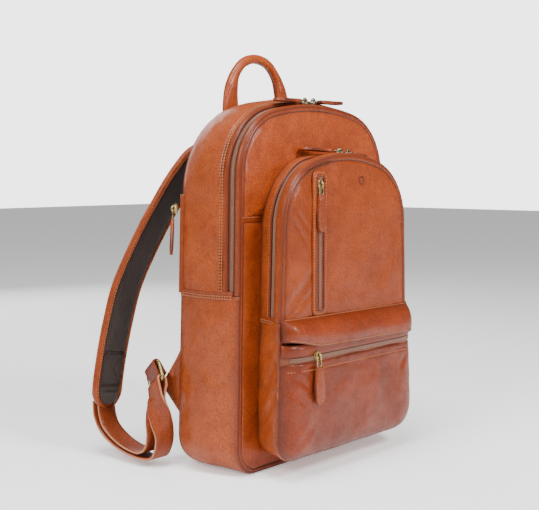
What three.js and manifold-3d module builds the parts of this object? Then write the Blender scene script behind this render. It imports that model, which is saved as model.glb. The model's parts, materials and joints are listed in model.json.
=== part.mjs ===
// A leather backpack: main compartment, front pocket with a lower pouch, a rolled handle,
// two padded shoulder straps with adjusters, and seven zip pulls.
// Millimetres. +X is to the right seen from the front, -Y is the front, +Y the wearer's back, +Z up.
// The origin is the centre of the main compartment's underside.

import * as THREE from 'three';
import { mergeVertices } from 'three/addons/utils/BufferGeometryUtils.js';
import Module from 'manifold-3d';

const wasm = await Module();
wasm.setup();

// ---------------------------------------------------------------- driving sizes

// Depth of the main compartment, and how far its sides swell half way back.
const BODY_DEPTH = 82;
const BODY_SWELL = 7;

// Arched outlines. half: half width where the straight side starts. top: height. crown: radius of
// the arc over the top. corner: radius of each shoulder. flare: how much wider it is at the base.
// foot: radius of each bottom corner. rise: height of the bottom edge above the ground.
const FRONT_ARCH = { half: 127, top: 400, crown: 330, corner: 70, flare: 6, foot: 29, rise: 0 };
const BACK_ARCH = { half: 131.5, top: 404, crown: 330, corner: 100, flare: 10, foot: 36, rise: 0 };

// The front pocket stands on the front panel and widens towards its own face.
const POCKET_DEPTH = 45;
const POCKET_ROOT = { half: 95, top: 346, crown: 215, corner: 83, flare: 8.5, foot: 26, rise: 19.5 };
const POCKET_FACE = { half: 112.5, top: 346, crown: 210, corner: 71, flare: 10, foot: 26, rise: 19.5 };

const LEATHER = 2.4;
const LINING = 1;
const GAP = 0.4;

// Heights of the seams across the body.
const GUSSET_SEAM = 195;
const FRONT_SEAM = 275;
const POCKET_SEAM = 169;

// Main zip: how far behind the front seam its teeth run, and the widths of teeth, tape and slot.
const ZIP_SETBACK = 9.5;
const TEETH_WIDTH = 5;
const TEETH_HEIGHT = 2;
const TAPE_THICK = 1;
const TAPE_WIDTH = 24;
const ZIP_SLOT = 9;
// Pocket zip: how far in front of the pocket's root its teeth run.
const POCKET_ZIP_REACH = 27;

// Upright zip in the pocket's face.
const UPRIGHT_X = -52;
const UPRIGHT_BOTTOM = 177;
const UPRIGHT_TOP = 322;
const UPRIGHT_SLOT = 12;

// Padded band over the lower pouch, the pouch and its zip.
const BAND_TOP = 173;
const BAND_BOTTOM = 139;
const BAND_PROUD = 17;
const POUCH_TOP = 123;
const POUCH_PROUD = 17;
const POUCH_ZIP_LEFT = -104;
const POUCH_ZIP_RIGHT = 112;
const POUCH_ZIP_Z = 130;
const POUCH_ZIP_FALL = 3;

// Zip in the left back seam.
const SIDE_ZIP_BOTTOM = 196;
const SIDE_ZIP_TOP = 300;

// Slider, link and leather tab of a zip pull.
const SLIDER = { length: 11, width: 8, plate: 2.2, bridge: 3.6, eye: 2.2, cheek: 2.4 };
const LINK = { length: 12, width: 7, wire: 1.3 };
const TAB = { length: 38, width: 16, neck: 11.5, thick: 3.4 };

// Back panel padding, laptop divider and boards.
const BACK_PAD = 9;
const DIVIDER_THICK = 6;
const DIVIDER_TOP = 290;
const DIVIDER_SETBACK = 14;
const BOARD = 2;

// Carrying handle: a leather tube whose flat ends are sewn to the back panel.
const HANDLE_SPAN = 92;
const HANDLE_TOP = 465;
const HANDLE_ROOT = 367;
const HANDLE_GRIP = 11;
const HANDLE_END_WIDTH = 25;
const HANDLE_END_THICK = 5;

// Yoke: the leather patch that holds the tops of the straps and the handle's ends.
const YOKE_HALF = 74;
const YOKE_BOTTOM = 336;
const YOKE_TOP = 380;
const YOKE_THICK = 3;

// Shoulder strap: padded, leather outside and mesh towards the wearer.
const STRAP_WIDTH = 46;
const STRAP_PAD = 6;
const STRAP_MESH = 2.4;
const ADJUSTER_WIDTH = 25;
const ADJUSTER_THICK = 2.6;
const RING_WIRE = 3.6;
const RING_HOLE = { across: 27, along: 18 };
const BUCKLE = { length: 26, width: 33, wire: 3.2 };

// ---------------------------------------------------------------- materials

function finish(color, roughness, metalness) {
  return new THREE.MeshStandardMaterial({ color, roughness, metalness });
}

const tanLeather = () => finish(0xb4623a, 0.45, 0);
const splitLeather = () => finish(0x9c5a34, 0.7, 0);
const brass = () => finish(0xa08a58, 0.35, 1);
const zipTape = () => finish(0x8a4a2c, 0.85, 0);
const cloth = () => finish(0x3a2a22, 0.9, 0);
const mesh = () => finish(0x2e211c, 0.9, 0);
const board = () => finish(0x6b5a48, 0.8, 0);
const foam = () => finish(0x2b2522, 0.95, 0);

// ---------------------------------------------------------------- outlines

const CROWN_STEPS = 5;
const SHOULDER_STEPS = 7;
const FOOT_STEPS = 4;

const mix = (a, b, s) => a + (b - a) * s;

function blendArch(a, b, s) {
  return Object.fromEntries(Object.keys(a).map((key) => [key, mix(a[key], b[key], s)]));
}

const FRONT_Y = -BODY_DEPTH / 2;
const BACK_Y = BODY_DEPTH / 2;
const POCKET_ROOT_Y = FRONT_Y - GAP;
const POCKET_FACE_Y = POCKET_ROOT_Y - POCKET_DEPTH;

// The main compartment's outline at depth y: it swells between its two seams.
function bodyArch(y) {
  const s = (y - FRONT_Y) / BODY_DEPTH;
  const swell = BODY_SWELL * Math.sin(Math.PI * Math.min(Math.max(s, 0), 1));
  const arch = blendArch(FRONT_ARCH, BACK_ARCH, s);
  arch.half += swell;
  arch.top += swell;
  arch.corner += swell;
  arch.foot += swell;
  return arch;
}

// The pocket's outline at depth y.
function pocketArch(y) {
  return blendArch(POCKET_ROOT, POCKET_FACE, (POCKET_ROOT_Y - y) / POCKET_DEPTH);
}

// The outline's arcs once it is drawn in by inset.
function archArcs(arch, inset) {
  const crown = arch.crown - inset;
  const corner = arch.corner - inset;
  const half = arch.half - inset;
  const crownZ = arch.top - inset - crown;
  const cornerX = half - corner;
  const cornerZ = crownZ + Math.sqrt((crown - corner) ** 2 - cornerX ** 2);
  const turn = Math.asin(cornerX / (crown - corner));
  return { crown, corner, half, crownZ, cornerX, cornerZ, turn };
}

function sideX(arch, inset, z) {
  const { half, cornerZ } = archArcs(arch, inset);
  return half + (arch.flare * (cornerZ - z)) / cornerZ;
}

// Right half of the arch, from the middle of the crown down to the height zEnd.
function archHalf(arch, inset, zEnd) {
  const { crown, corner, crownZ, cornerX, cornerZ, turn } = archArcs(arch, inset);
  const points = [];
  for (let i = 0; i <= CROWN_STEPS; i++) {
    const a = (turn * i) / CROWN_STEPS;
    points.push(new THREE.Vector2(crown * Math.sin(a), crownZ + crown * Math.cos(a)));
  }
  for (let i = 1; i <= SHOULDER_STEPS; i++) {
    const a = turn + ((Math.PI / 2 - turn) * i) / SHOULDER_STEPS;
    points.push(new THREE.Vector2(cornerX + corner * Math.sin(a), cornerZ + corner * Math.cos(a)));
  }
  points.push(new THREE.Vector2(sideX(arch, inset, zEnd), zEnd));
  return points;
}

// Right half of the base, from the height zStart down and round the foot.
function baseHalf(arch, inset, zStart) {
  const floor = arch.rise + inset;
  const foot = arch.foot - inset;
  const edge = sideX(arch, inset, floor + foot);
  const points = [new THREE.Vector2(sideX(arch, inset, zStart), zStart)];
  for (let i = 0; i <= FOOT_STEPS; i++) {
    const a = ((Math.PI / 2) * i) / FOOT_STEPS;
    points.push(new THREE.Vector2(edge - foot + foot * Math.cos(a), floor + foot - foot * Math.sin(a)));
  }
  return points;
}

const mirrored = (half) => half.map((p) => new THREE.Vector2(-p.x, p.y)).reverse();

// The two halves as one path: over the crown from left to right, and under the base back again.
function archPath(arch, inset, zEnd) {
  const half = archHalf(arch, inset, zEnd);
  return [...mirrored(half).slice(0, -1), ...half];
}

function basePath(arch, inset, zStart) {
  const half = baseHalf(arch, inset, zStart);
  return [...half, ...mirrored(half)];
}

// Closed outline of the whole arch, or of the part above or below a height.
const outlineAbove = (arch, inset, z) => archPath(arch, inset, z);
const outlineBelow = (arch, inset, z) => basePath(arch, inset, z);

function wholeOutline(arch, inset) {
  const middle = 200;
  return [...archPath(arch, inset, middle).slice(1, -1), ...basePath(arch, inset, middle).slice(1, -1)];
}

// ---------------------------------------------------------------- solids

// A closed skin over a row of rings. Each ring holds the same number of points, and flat is the
// outline that the two end caps are triangulated from.
function skin(rings, flat) {
  const count = rings[0].length;
  const positions = rings.flat().flatMap((p) => [p.x, p.y, p.z]);
  const index = [];
  for (let r = 0; r + 1 < rings.length; r++) {
    for (let i = 0; i < count; i++) {
      const j = (i + 1) % count;
      const a = r * count + i;
      const b = r * count + j;
      index.push(a, b, a + count, b, b + count, a + count);
    }
  }
  const last = (rings.length - 1) * count;
  const clockwise = THREE.ShapeUtils.area(flat) < 0;
  for (const [a, m, n] of THREE.ShapeUtils.triangulateShape(flat, [])) {
    const [b, c] = clockwise ? [n, m] : [m, n];
    index.push(a, c, b, last + a, last + b, last + c);
  }
  const geometry = new THREE.BufferGeometry();
  geometry.setAttribute('position', new THREE.Float32BufferAttribute(positions, 3));
  geometry.setIndex(facingOut(positions, index));
  return geometry;
}

// The same triangles, turned over if they face inwards.
function facingOut(positions, index) {
  const corner = (n) => new THREE.Vector3().fromArray(positions, 3 * index[n]);
  let volume = 0;
  for (let i = 0; i < index.length; i += 3) {
    volume += corner(i).dot(corner(i + 1).cross(corner(i + 2)));
  }
  return volume > 0 ? index : index.toReversed();
}

const at = (p, y) => new THREE.Vector3(p.x, y, p.y);

// A flat or domed slab: outlines stacked along Y. layers holds [y, outline] pairs.
function stack(layers) {
  return skin(layers.map(([y, outline]) => outline.map((p) => at(p, y))), layers[0][1]);
}

// A strip that follows an outline. section lists [inset, y] corners, and path gives the outline.
function strip(path, section) {
  const paths = section.map(([inset, y]) => path(inset, y));
  const rings = paths[0].map((_, k) => section.map(([, y], i) => at(paths[i][k], y)));
  return skin(rings, bowed(section));
}

// The section with its long sides bowed a little, so that no three corners lie in line.
function bowed(section) {
  const ys = section.map(([, y]) => y);
  const insets = section.map(([inset]) => inset);
  const middle = (Math.min(...ys) + Math.max(...ys)) / 2;
  const reach = (Math.max(...ys) - Math.min(...ys)) / 2;
  const centre = (Math.min(...insets) + Math.max(...insets)) / 2;
  return section.map(([inset, y]) => {
    const bow = 0.2 * (1 - ((y - middle) / reach) ** 2);
    return new THREE.Vector2(inset + (inset < centre ? -bow : bow), y);
  });
}

// A strip's section of even thickness, with enough steps to follow the swell.
function bandSection(yFrom, yTo, outer, inner, steps) {
  const ys = Array.from({ length: steps + 1 }, (_, i) => mix(yFrom, yTo, i / steps));
  return [...ys.map((y) => [outer, y]), ...ys.toReversed().map((y) => [inner, y])];
}

// Zip section: a tape under the leather with a raised row of teeth along its middle.
function zipSection(y, depth) {
  const tape = TAPE_WIDTH / 2;
  const teeth = TEETH_WIDTH / 2;
  const base = depth;
  const crest = depth - TEETH_HEIGHT;
  return [
    [base, y - tape],
    [base, y - teeth],
    [crest, y - teeth],
    [crest, y + teeth],
    [base, y + teeth],
    [base, y + tape],
    [base + TAPE_THICK, y + tape],
    [base + TAPE_THICK, y - tape],
  ];
}

// An extruded outline: drawn in X and Y, thickness along +Z from zero.
function plate(points, thickness, holes = []) {
  const shape = new THREE.Shape(points);
  shape.holes = holes.map((hole) => new THREE.Path(hole));
  return new THREE.ExtrudeGeometry(shape, { depth: thickness, bevelEnabled: false });
}

function rectangle(x0, x1, y0, y1) {
  return [
    new THREE.Vector2(x0, y0),
    new THREE.Vector2(x1, y0),
    new THREE.Vector2(x1, y1),
    new THREE.Vector2(x0, y1),
  ];
}

// A rectangle with rounded corners, centred on the origin.
function softRectangle(length, width, radius, steps = 3) {
  const points = [];
  const cornerX = length / 2 - radius;
  const cornerY = width / 2 - radius;
  [[1, 1], [-1, 1], [-1, -1], [1, -1]].forEach(([sx, sy], quarter) => {
    for (let i = 0; i <= steps; i++) {
      const a = (Math.PI / 2) * (quarter + i / steps);
      const x = sx * cornerX + radius * Math.cos(a);
      points.push(new THREE.Vector2(x, sy * cornerY + radius * Math.sin(a)));
    }
  });
  return points;
}

// Joins and cuts.
function solid(geometry) {
  const bare = geometry.clone();
  bare.deleteAttribute('normal');
  bare.deleteAttribute('uv');
  const merged = mergeVertices(bare, 1e-4);
  return new wasm.Manifold(
    new wasm.Mesh({
      numProp: 3,
      vertProperties: Float32Array.from(merged.attributes.position.array),
      triVerts: Uint32Array.from(merged.index.array),
    }),
  );
}

function geometryOf(manifold) {
  const { vertProperties, triVerts } = manifold.getMesh();
  const geometry = new THREE.BufferGeometry();
  geometry.setAttribute('position', new THREE.BufferAttribute(Float32Array.from(vertProperties), 3));
  geometry.setIndex(Array.from(triVerts));
  return geometry;
}

const joined = (...pieces) => geometryOf(pieces.map(solid).reduce((a, b) => a.add(b)));
const cut = (piece, ...tools) => geometryOf(tools.map(solid).reduce((a, b) => a.subtract(b), solid(piece)));

// A band of leather or cloth along a route. widths and thicks may vary with place along it.
// Each stop gives the middle of the band's inner face, and the directions across and outwards.
function ribbon(stops) {
  const rings = stops.map(({ place, across, out, width, thick }) => {
    const side = across.clone().multiplyScalar(width / 2);
    const far = out.clone().multiplyScalar(thick);
    return [
      place.clone().sub(side),
      place.clone().add(side),
      place.clone().add(side).add(far),
      place.clone().sub(side).add(far),
    ];
  });
  return skin(rings, rectangle(0, 1, 0, 1));
}

// Axis-aligned block, given by its lowest and highest corners.
function block(low, high) {
  const size = high.map((value, i) => value - low[i]);
  const geometry = new THREE.BoxGeometry(...size);
  return geometry.translate(...low.map((value, i) => value + size[i] / 2));
}

const bag = new THREE.Group();

function add(name, geometry, material, parent = bag) {
  const piece = new THREE.Mesh(geometry, material);
  piece.name = name;
  parent.add(piece);
  return piece;
}

// ---------------------------------------------------------------- main compartment

const BODY_ZIP_Y = FRONT_Y + ZIP_SETBACK;
const SEAM_HALF = GAP / 2;

const bodyArchAbove = (inset, y) => archPath(bodyArch(y), inset, GUSSET_SEAM + SEAM_HALF);
const bodyBaseBelow = (inset, y) => basePath(bodyArch(y), inset, GUSSET_SEAM - SEAM_HALF);

function frontPanels() {
  const yBack = FRONT_Y + LEATHER;
  const layers = (outline, z) => [FRONT_Y, yBack].map((y) => [y, outline(bodyArch(FRONT_Y), 0, z)]);
  add('front_panel_upper', stack(layers(outlineAbove, FRONT_SEAM + SEAM_HALF)), tanLeather());
  add('front_panel_lower', stack(layers(outlineBelow, FRONT_SEAM - SEAM_HALF)), tanLeather());
}

function gussets() {
  const front = FRONT_Y + LEATHER + GAP;
  const back = BACK_Y - GAP;
  const stripEnd = BODY_ZIP_Y - ZIP_SLOT / 2;
  const rearStart = BODY_ZIP_Y + ZIP_SLOT / 2;
  const frontStrip = bandSection(front, stripEnd, 0, LEATHER, 1);
  add('gusset_front_strip', strip(bodyArchAbove, frontStrip), tanLeather());
  add('gusset_rear', strip(bodyArchAbove, bandSection(rearStart, back, 0, LEATHER, 5)), tanLeather());
  add('base_gusset', strip(bodyBaseBelow, bandSection(front, back, 0, LEATHER, 6)), tanLeather());
}

function mainZip() {
  const depth = LEATHER + GAP;
  const middle = BODY_ZIP_Y;
  const front = FRONT_Y + LEATHER + GAP;
  const section = zipSection(middle, depth).map(([inset, y]) => [inset, Math.max(y, front)]);
  add('main_zip', strip(bodyArchAbove, section), zipTape());
}

function backPanel() {
  const outline = wholeOutline(bodyArch(BACK_Y), 0);
  const padArch = { ...BACK_ARCH, half: BACK_ARCH.half - 16, top: YOKE_BOTTOM - GAP, corner: 60, foot: 30 };
  padArch.rise = 24;
  const rim = wholeOutline(padArch, 0);
  const face = wholeOutline(padArch, 7);
  const y = BACK_Y + LEATHER + GAP;
  add('back_panel', stack([BACK_Y, BACK_Y + LEATHER].map((level) => [level, outline])), tanLeather());
  add('back_padding', stack([[y, rim], [y + BACK_PAD * 0.5, rim], [y + BACK_PAD, face]]), foam());
}

// The lining is a cup: its walls stand just inside the gussets and it is open to the front.
const LINING_INSET = LEATHER + GAP + TAPE_THICK + GAP;

function liningAndBoards() {
  const front = FRONT_Y + LEATHER + GAP;
  const back = BACK_Y - GAP;
  const levels = [0, 0.25, 0.5, 0.75, 1].map((s) => mix(front, back, s));
  const outside = stack(levels.map((y) => [y, wholeOutline(bodyArch(y), LINING_INSET)]));
  const hollowEnds = [front - 1, ...levels.slice(1, -1), back - LINING];
  const inside = stack(hollowEnds.map((y) => [y, wholeOutline(bodyArch(y), LINING_INSET + LINING)]));
  add('main_lining', cut(outside, inside), cloth());

  const wall = LINING_INSET + LINING + GAP;
  const dividerBack = BACK_Y - DIVIDER_SETBACK + DIVIDER_THICK / 2;
  const dividerArch = { ...bodyArch(BACK_Y), top: DIVIDER_TOP, crown: 900, corner: 40 };
  const divider = wholeOutline(dividerArch, wall + 1);
  const dividerLayers = [dividerBack - DIVIDER_THICK, dividerBack].map((y) => [y, divider]);
  add('laptop_divider', stack(dividerLayers), cloth());

  const floor = FRONT_ARCH.rise + wall;
  const boardFront = front + 1;
  const boardBack = dividerBack - DIVIDER_THICK - GAP;
  const half = FRONT_ARCH.half - FRONT_ARCH.foot;
  add('base_board', block([-half, boardFront, floor], [half, boardBack, floor + BOARD]), board());
}

// ---------------------------------------------------------------- front pocket

const POCKET_ZIP_Y = POCKET_ROOT_Y - POCKET_ZIP_REACH;
const pocketArchAbove = (inset, y) => archPath(pocketArch(y), inset, POCKET_SEAM + SEAM_HALF);
const pocketBaseBelow = (inset, y) => basePath(pocketArch(y), inset, POCKET_SEAM - SEAM_HALF);
const FACE_BACK = POCKET_FACE_Y + LEATHER;

function pocketGussets() {
  const rearEnd = POCKET_ZIP_Y + ZIP_SLOT / 2;
  const frontStart = POCKET_ZIP_Y - ZIP_SLOT / 2;
  const face = FACE_BACK + GAP;
  const rear = bandSection(rearEnd, POCKET_ROOT_Y, 0, LEATHER, 1);
  add('pocket_gusset_rear', strip(pocketArchAbove, rear), tanLeather());
  const ahead = bandSection(face, frontStart, 0, LEATHER, 1);
  add('pocket_gusset_front', strip(pocketArchAbove, ahead), tanLeather());
  const lower = bandSection(face, POCKET_ROOT_Y, 0, LEATHER, 1);
  add('pocket_gusset_lower', strip(pocketBaseBelow, lower), tanLeather());
  const section = zipSection(POCKET_ZIP_Y, LEATHER + 2 * GAP)
    .map(([inset, y]) => [inset, Math.max(y, face)]);
  add('pocket_zip', strip(pocketArchAbove, section), zipTape());
}

const POUCH_SPLIT = BAND_BOTTOM - 3;

function pocketPanel() {
  const outline = outlineAbove(POCKET_FACE, 0, POUCH_SPLIT + SEAM_HALF);
  const layers = [POCKET_FACE_Y, FACE_BACK].map((y) => [y, outline]);
  const slotHalf = UPRIGHT_SLOT / 2;
  const slot = block(
    [UPRIGHT_X - slotHalf, POCKET_FACE_Y - 1, UPRIGHT_BOTTOM],
    [UPRIGHT_X + slotHalf, FACE_BACK + 1, UPRIGHT_TOP],
  );
  add('pocket_panel', cut(stack(layers), slot), tanLeather());
}

// The upright zip lies behind the face and its teeth show in the slot.
function uprightZip() {
  const back = FACE_BACK + GAP;
  const tape = block(
    [UPRIGHT_X - TAPE_WIDTH / 2, back, UPRIGHT_BOTTOM - 4],
    [UPRIGHT_X + TAPE_WIDTH / 2, back + TAPE_THICK, UPRIGHT_TOP + 4],
  );
  const teeth = block(
    [UPRIGHT_X - TEETH_WIDTH / 2, back - TEETH_HEIGHT, UPRIGHT_BOTTOM + GAP],
    [UPRIGHT_X + TEETH_WIDTH / 2, back + TAPE_THICK / 2, UPRIGHT_TOP - GAP],
  );
  add('upright_zip', joined(tape, teeth), zipTape());
}

function pocketBand() {
  const face = POCKET_FACE_Y - GAP;
  const proud = face - BAND_PROUD;
  const profile = [
    [face, BAND_TOP],
    [face - 5, BAND_TOP - 1],
    [face - 12, BAND_TOP - 5],
    [proud, BAND_TOP - 14],
    [proud, BAND_BOTTOM + 6],
    [face - 14, BAND_BOTTOM],
    [face, BAND_BOTTOM],
  ];
  const half = sideX(POCKET_FACE, 0, BAND_BOTTOM) - 0.5;
  const rings = [-1, -0.9, 0.9, 1].map((s) =>
    profile.map(([y, z]) => new THREE.Vector3(s * half, mix(face, y, Math.abs(s) === 1 ? 0.75 : 1), z)),
  );
  const flat = profile.map(([y, z]) => new THREE.Vector2(y, z));
  add('pocket_band', skin(rings, flat), tanLeather());
}

// The lower pouch: a flat backing, a domed leather front and the zip along its top.
function lowerPouch() {
  const face = POCKET_FACE_Y;
  const backing = [face, FACE_BACK].map((y) => [y, outlineBelow(POCKET_FACE, 0, POUCH_SPLIT - SEAM_HALF)]);
  add('pouch_backing', stack(backing), cloth());

  const dome = (inset, yRoot, yTop, z) => stack([
    [yRoot, outlineBelow(POCKET_FACE, inset, z)],
    [mix(yRoot, yTop, 0.55), outlineBelow(POCKET_FACE, inset + 0.5, z)],
    [mix(yRoot, yTop, 0.85), outlineBelow(POCKET_FACE, inset + 4, z)],
    [yTop, outlineBelow(POCKET_FACE, inset + 11, z)],
  ]);
  const root = face - GAP;
  const outside = dome(0, root, face - POUCH_PROUD, POUCH_TOP);
  const inside = dome(LEATHER, root + 1, face - POUCH_PROUD + LEATHER, POUCH_TOP - LEATHER);
  add('pouch_front', cut(outside, inside), tanLeather());
}

const POUCH_ZIP_FACE = POCKET_FACE_Y - POUCH_PROUD + 2;

function pouchZip() {
  const length = POUCH_ZIP_RIGHT - POUCH_ZIP_LEFT;
  const teethFace = POUCH_ZIP_FACE;
  const tape = block([0, teethFace + TEETH_HEIGHT, -5], [length, teethFace + TEETH_HEIGHT + 6, 5]);
  const teeth = block(
    [0, teethFace, -TEETH_WIDTH / 2],
    [length, teethFace + TEETH_HEIGHT + 1, TEETH_WIDTH / 2],
  );
  const piece = add('pouch_zip', joined(tape, teeth), zipTape());
  piece.position.set(POUCH_ZIP_LEFT, 0, POUCH_ZIP_Z + POUCH_ZIP_FALL / 2);
  piece.rotation.y = Math.atan2(POUCH_ZIP_FALL, length);
}

// ---------------------------------------------------------------- side zip in the back seam

const SIDE_ZIP_TURN = Math.PI / 4;

function sideZipPlace(z) {
  return new THREE.Vector3(-sideX(BACK_ARCH, 0, z) - 1.2, BACK_Y + LEATHER + 1.6, z);
}

function sideZip() {
  const height = SIDE_ZIP_TOP - SIDE_ZIP_BOTTOM;
  const low = sideZipPlace(SIDE_ZIP_BOTTOM);
  const high = sideZipPlace(SIDE_ZIP_TOP);
  const piece = add('side_zip', block([-2.5, -1, 0], [2.5, 1, height]), zipTape());
  piece.position.copy(low);
  piece.rotation.set(0, Math.atan2(high.x - low.x, height), 0);
}

// ---------------------------------------------------------------- zip pulls

// A slider on the teeth, a wire link through its bridge and a leather tab on the link.
// toward: the way the tab points. up: away from the surface the slider runs on.
// droop: how far the link and the tab are turned down towards the surface, in degrees.
function zipPull(name, place, toward, up, droop) {
  const along = toward.clone().normalize();
  const normal = up.clone().addScaledVector(along, -up.dot(along)).normalize();
  const across = new THREE.Vector3().crossVectors(normal, along);
  const seat = new THREE.Group();
  seat.matrixAutoUpdate = false;
  seat.matrix.makeBasis(along, across, normal).setPosition(place);
  bag.add(seat);

  const foot = plate(softRectangle(SLIDER.length, SLIDER.width, 2.6), SLIDER.plate);
  const bridgeTop = SLIDER.plate + SLIDER.bridge;
  const bridge = block([-4.6, -SLIDER.cheek / 2, SLIDER.plate - 0.4], [4.6, SLIDER.cheek / 2, bridgeTop]);
  const eyeLow = SLIDER.plate + 0.3;
  const eye = block([-3.2, -SLIDER.cheek, eyeLow], [3.2, SLIDER.cheek, eyeLow + SLIDER.eye]);
  add(`${name}_slider`, cut(joined(foot, bridge), eye), brass(), seat);

  const pivot = new THREE.Group();
  pivot.position.set(1.6, 0, eyeLow + SLIDER.eye / 2);
  pivot.rotation.y = THREE.MathUtils.degToRad(droop);
  seat.add(pivot);
  const middle = LINK.length / 2 - LINK.wire / 2;
  const link = plate(
    softRectangle(LINK.length, LINK.width, 2.4),
    LINK.wire,
    [softRectangle(LINK.length - 2 * LINK.wire, LINK.width - 2 * LINK.wire, 1.1)],
  ).translate(middle, 0, -LINK.wire / 2);
  add(`${name}_link`, link, brass(), pivot);

  const start = LINK.length - LINK.wire / 2 + GAP;
  const tabOutline = [
    new THREE.Vector2(start, -TAB.neck / 2),
    ...tabEnd(start + TAB.length, TAB.width),
    new THREE.Vector2(start, TAB.neck / 2),
  ];
  const tab = plate(tabOutline, TAB.thick).translate(0, 0, -TAB.thick / 2);
  add(`${name}_tab`, tab, tanLeather(), pivot);
}

// The tab's sides and its round end.
function tabEnd(tip, width) {
  const points = [];
  const steps = 6;
  for (let i = 0; i <= steps; i++) {
    const a = -Math.PI / 2 + (Math.PI * i) / steps;
    points.push(new THREE.Vector2(tip - width / 2 + (width / 2) * Math.cos(a), (width / 2) * Math.sin(a)));
  }
  return points;
}

// Place on the crown of an arch, at a distance from its middle.
function onCrown(arch, distance, y, lift) {
  const { crown, crownZ } = archArcs(arch, 0);
  const a = distance / crown;
  const up = new THREE.Vector3(Math.sin(a), 0, Math.cos(a));
  const place = up.clone().multiplyScalar(crown + lift).add(new THREE.Vector3(0, y, crownZ));
  const right = new THREE.Vector3(Math.cos(a), 0, -Math.sin(a));
  return { place, up, right };
}

const SLIDER_LIFT = 0.2;
// Where the two sliders of each arched zip meet, left or right of the middle.
const MAIN_MEET = -1.5;
const POCKET_MEET = 16;
const SLIDER_PAIR = 15;
// How far the pocket's tabs are turned back, in degrees.
const POCKET_TAB_SKEW = 18;
// Where the other three sliders stand when closed.
const UPRIGHT_SLIDER_Z = UPRIGHT_TOP - 9;
const POUCH_SLIDER_X = -74;
const SIDE_SLIDER_Z = 286;
// How far a tab leans away from what it hangs on, in degrees.
const TAB_DROOP = { crown: -1, face: -2 };

function allPulls() {
  const bodyZip = bodyArch(BODY_ZIP_Y);
  const pocketZip = pocketArch(POCKET_ZIP_Y);
  for (const [name, side] of [['main_left', -1], ['main_right', 1]]) {
    const distance = MAIN_MEET + (side * SLIDER_PAIR) / 2;
    const { place, up, right } = onCrown(bodyZip, distance, BODY_ZIP_Y, SLIDER_LIFT);
    zipPull(name, place, right.multiplyScalar(side), up, TAB_DROOP.crown);
  }
  for (const [name, side] of [['pocket_left', -1], ['pocket_right', 1]]) {
    const distance = POCKET_MEET + (side * SLIDER_PAIR) / 2;
    const { place, up, right } = onCrown(pocketZip, distance, POCKET_ZIP_Y, SLIDER_LIFT);
    const skew = THREE.MathUtils.degToRad(POCKET_TAB_SKEW) * side;
    const toward = right.multiplyScalar(side).applyAxisAngle(up, skew);
    zipPull(name, place, toward, up, TAB_DROOP.crown);
  }
  const down = new THREE.Vector3(0, 0, -1);
  const front = new THREE.Vector3(0, -1, 0);
  const uprightFace = FACE_BACK + GAP - TEETH_HEIGHT - SLIDER_LIFT;
  const uprightPlace = new THREE.Vector3(UPRIGHT_X, uprightFace, UPRIGHT_SLIDER_Z);
  zipPull('upright', uprightPlace, down, front, TAB_DROOP.face);
  const run = POUCH_SLIDER_X - POUCH_ZIP_LEFT;
  const fall = (POUCH_ZIP_FALL * run) / (POUCH_ZIP_RIGHT - POUCH_ZIP_LEFT);
  const pouchPlace = new THREE.Vector3(
    POUCH_SLIDER_X,
    POUCH_ZIP_FACE - SLIDER_LIFT,
    POUCH_ZIP_Z + POUCH_ZIP_FALL / 2 - fall,
  );
  zipPull('pouch', pouchPlace, down, front, TAB_DROOP.face);
  const outward = new THREE.Vector3(-Math.sin(SIDE_ZIP_TURN), Math.cos(SIDE_ZIP_TURN), 0);
  const sidePlace = sideZipPlace(SIDE_SLIDER_Z).addScaledVector(outward, 3.4);
  zipPull('side', sidePlace, down, outward, TAB_DROOP.face);
}

// ---------------------------------------------------------------- handle and yoke

const HANDLE_Y = BACK_Y + LEATHER + YOKE_THICK + 3 * GAP + HANDLE_END_THICK / 2;
// The handle bends where its flat ends leave the back panel's top edge.
const HANDLE_BEND = BACK_ARCH.top + 1;
const HANDLE_GAP = HANDLE_END_THICK / 2 + 3 * GAP;

// How far along each leg the flat end has turned into the round grip, from 0 to 1.
const rolled = (s) => THREE.MathUtils.smoothstep(Math.min(s, 1 - s), 0, 0.2);
const handleWidth = (s) => mix(HANDLE_END_WIDTH, HANDLE_GRIP, rolled(s));
const handleThick = (s) => mix(HANDLE_END_THICK, HANDLE_GRIP, rolled(s));

// An octagonal section of the handle.
function handleSection(middle, across, out, s) {
  const sides = 8;
  const points = [];
  for (let k = 0; k < sides; k++) {
    const a = (2 * Math.PI * (k + 0.5)) / sides;
    const point = middle.clone();
    point.addScaledVector(across, (handleWidth(s) / 2) * Math.cos(a));
    point.addScaledVector(out, (handleThick(s) / 2) * Math.sin(a));
    points.push(point);
  }
  return points;
}

function handle() {
  const half = HANDLE_SPAN / 2;
  const low = HANDLE_BEND + HANDLE_GAP;
  const route = new THREE.CatmullRomCurve3([
    new THREE.Vector3(-half, HANDLE_Y, low),
    new THREE.Vector3(-half + 3, HANDLE_Y + 1, low + 14),
    new THREE.Vector3(-half / 2 - 3, HANDLE_Y + 2, HANDLE_TOP - 15),
    new THREE.Vector3(0, HANDLE_Y + 2, HANDLE_TOP - HANDLE_GRIP / 2),
    new THREE.Vector3(half / 2 + 3, HANDLE_Y + 2, HANDLE_TOP - 15),
    new THREE.Vector3(half - 3, HANDLE_Y + 1, low + 14),
    new THREE.Vector3(half, HANDLE_Y, low),
  ], false, 'centripetal');
  const steps = 24;
  const out = new THREE.Vector3(0, 1, 0);
  const rings = [];
  for (let i = 0; i <= steps; i++) {
    const s = i / steps;
    const across = new THREE.Vector3().crossVectors(route.getTangentAt(s), out).normalize();
    rings.push(handleSection(route.getPointAt(s), across, out, s));
  }
  const flat = handleSection(new THREE.Vector3(), new THREE.Vector3(1, 0, 0), out, 0);
  add('handle', skin(rings, flat.map((p) => new THREE.Vector2(p.x, p.y))), tanLeather());
}

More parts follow.
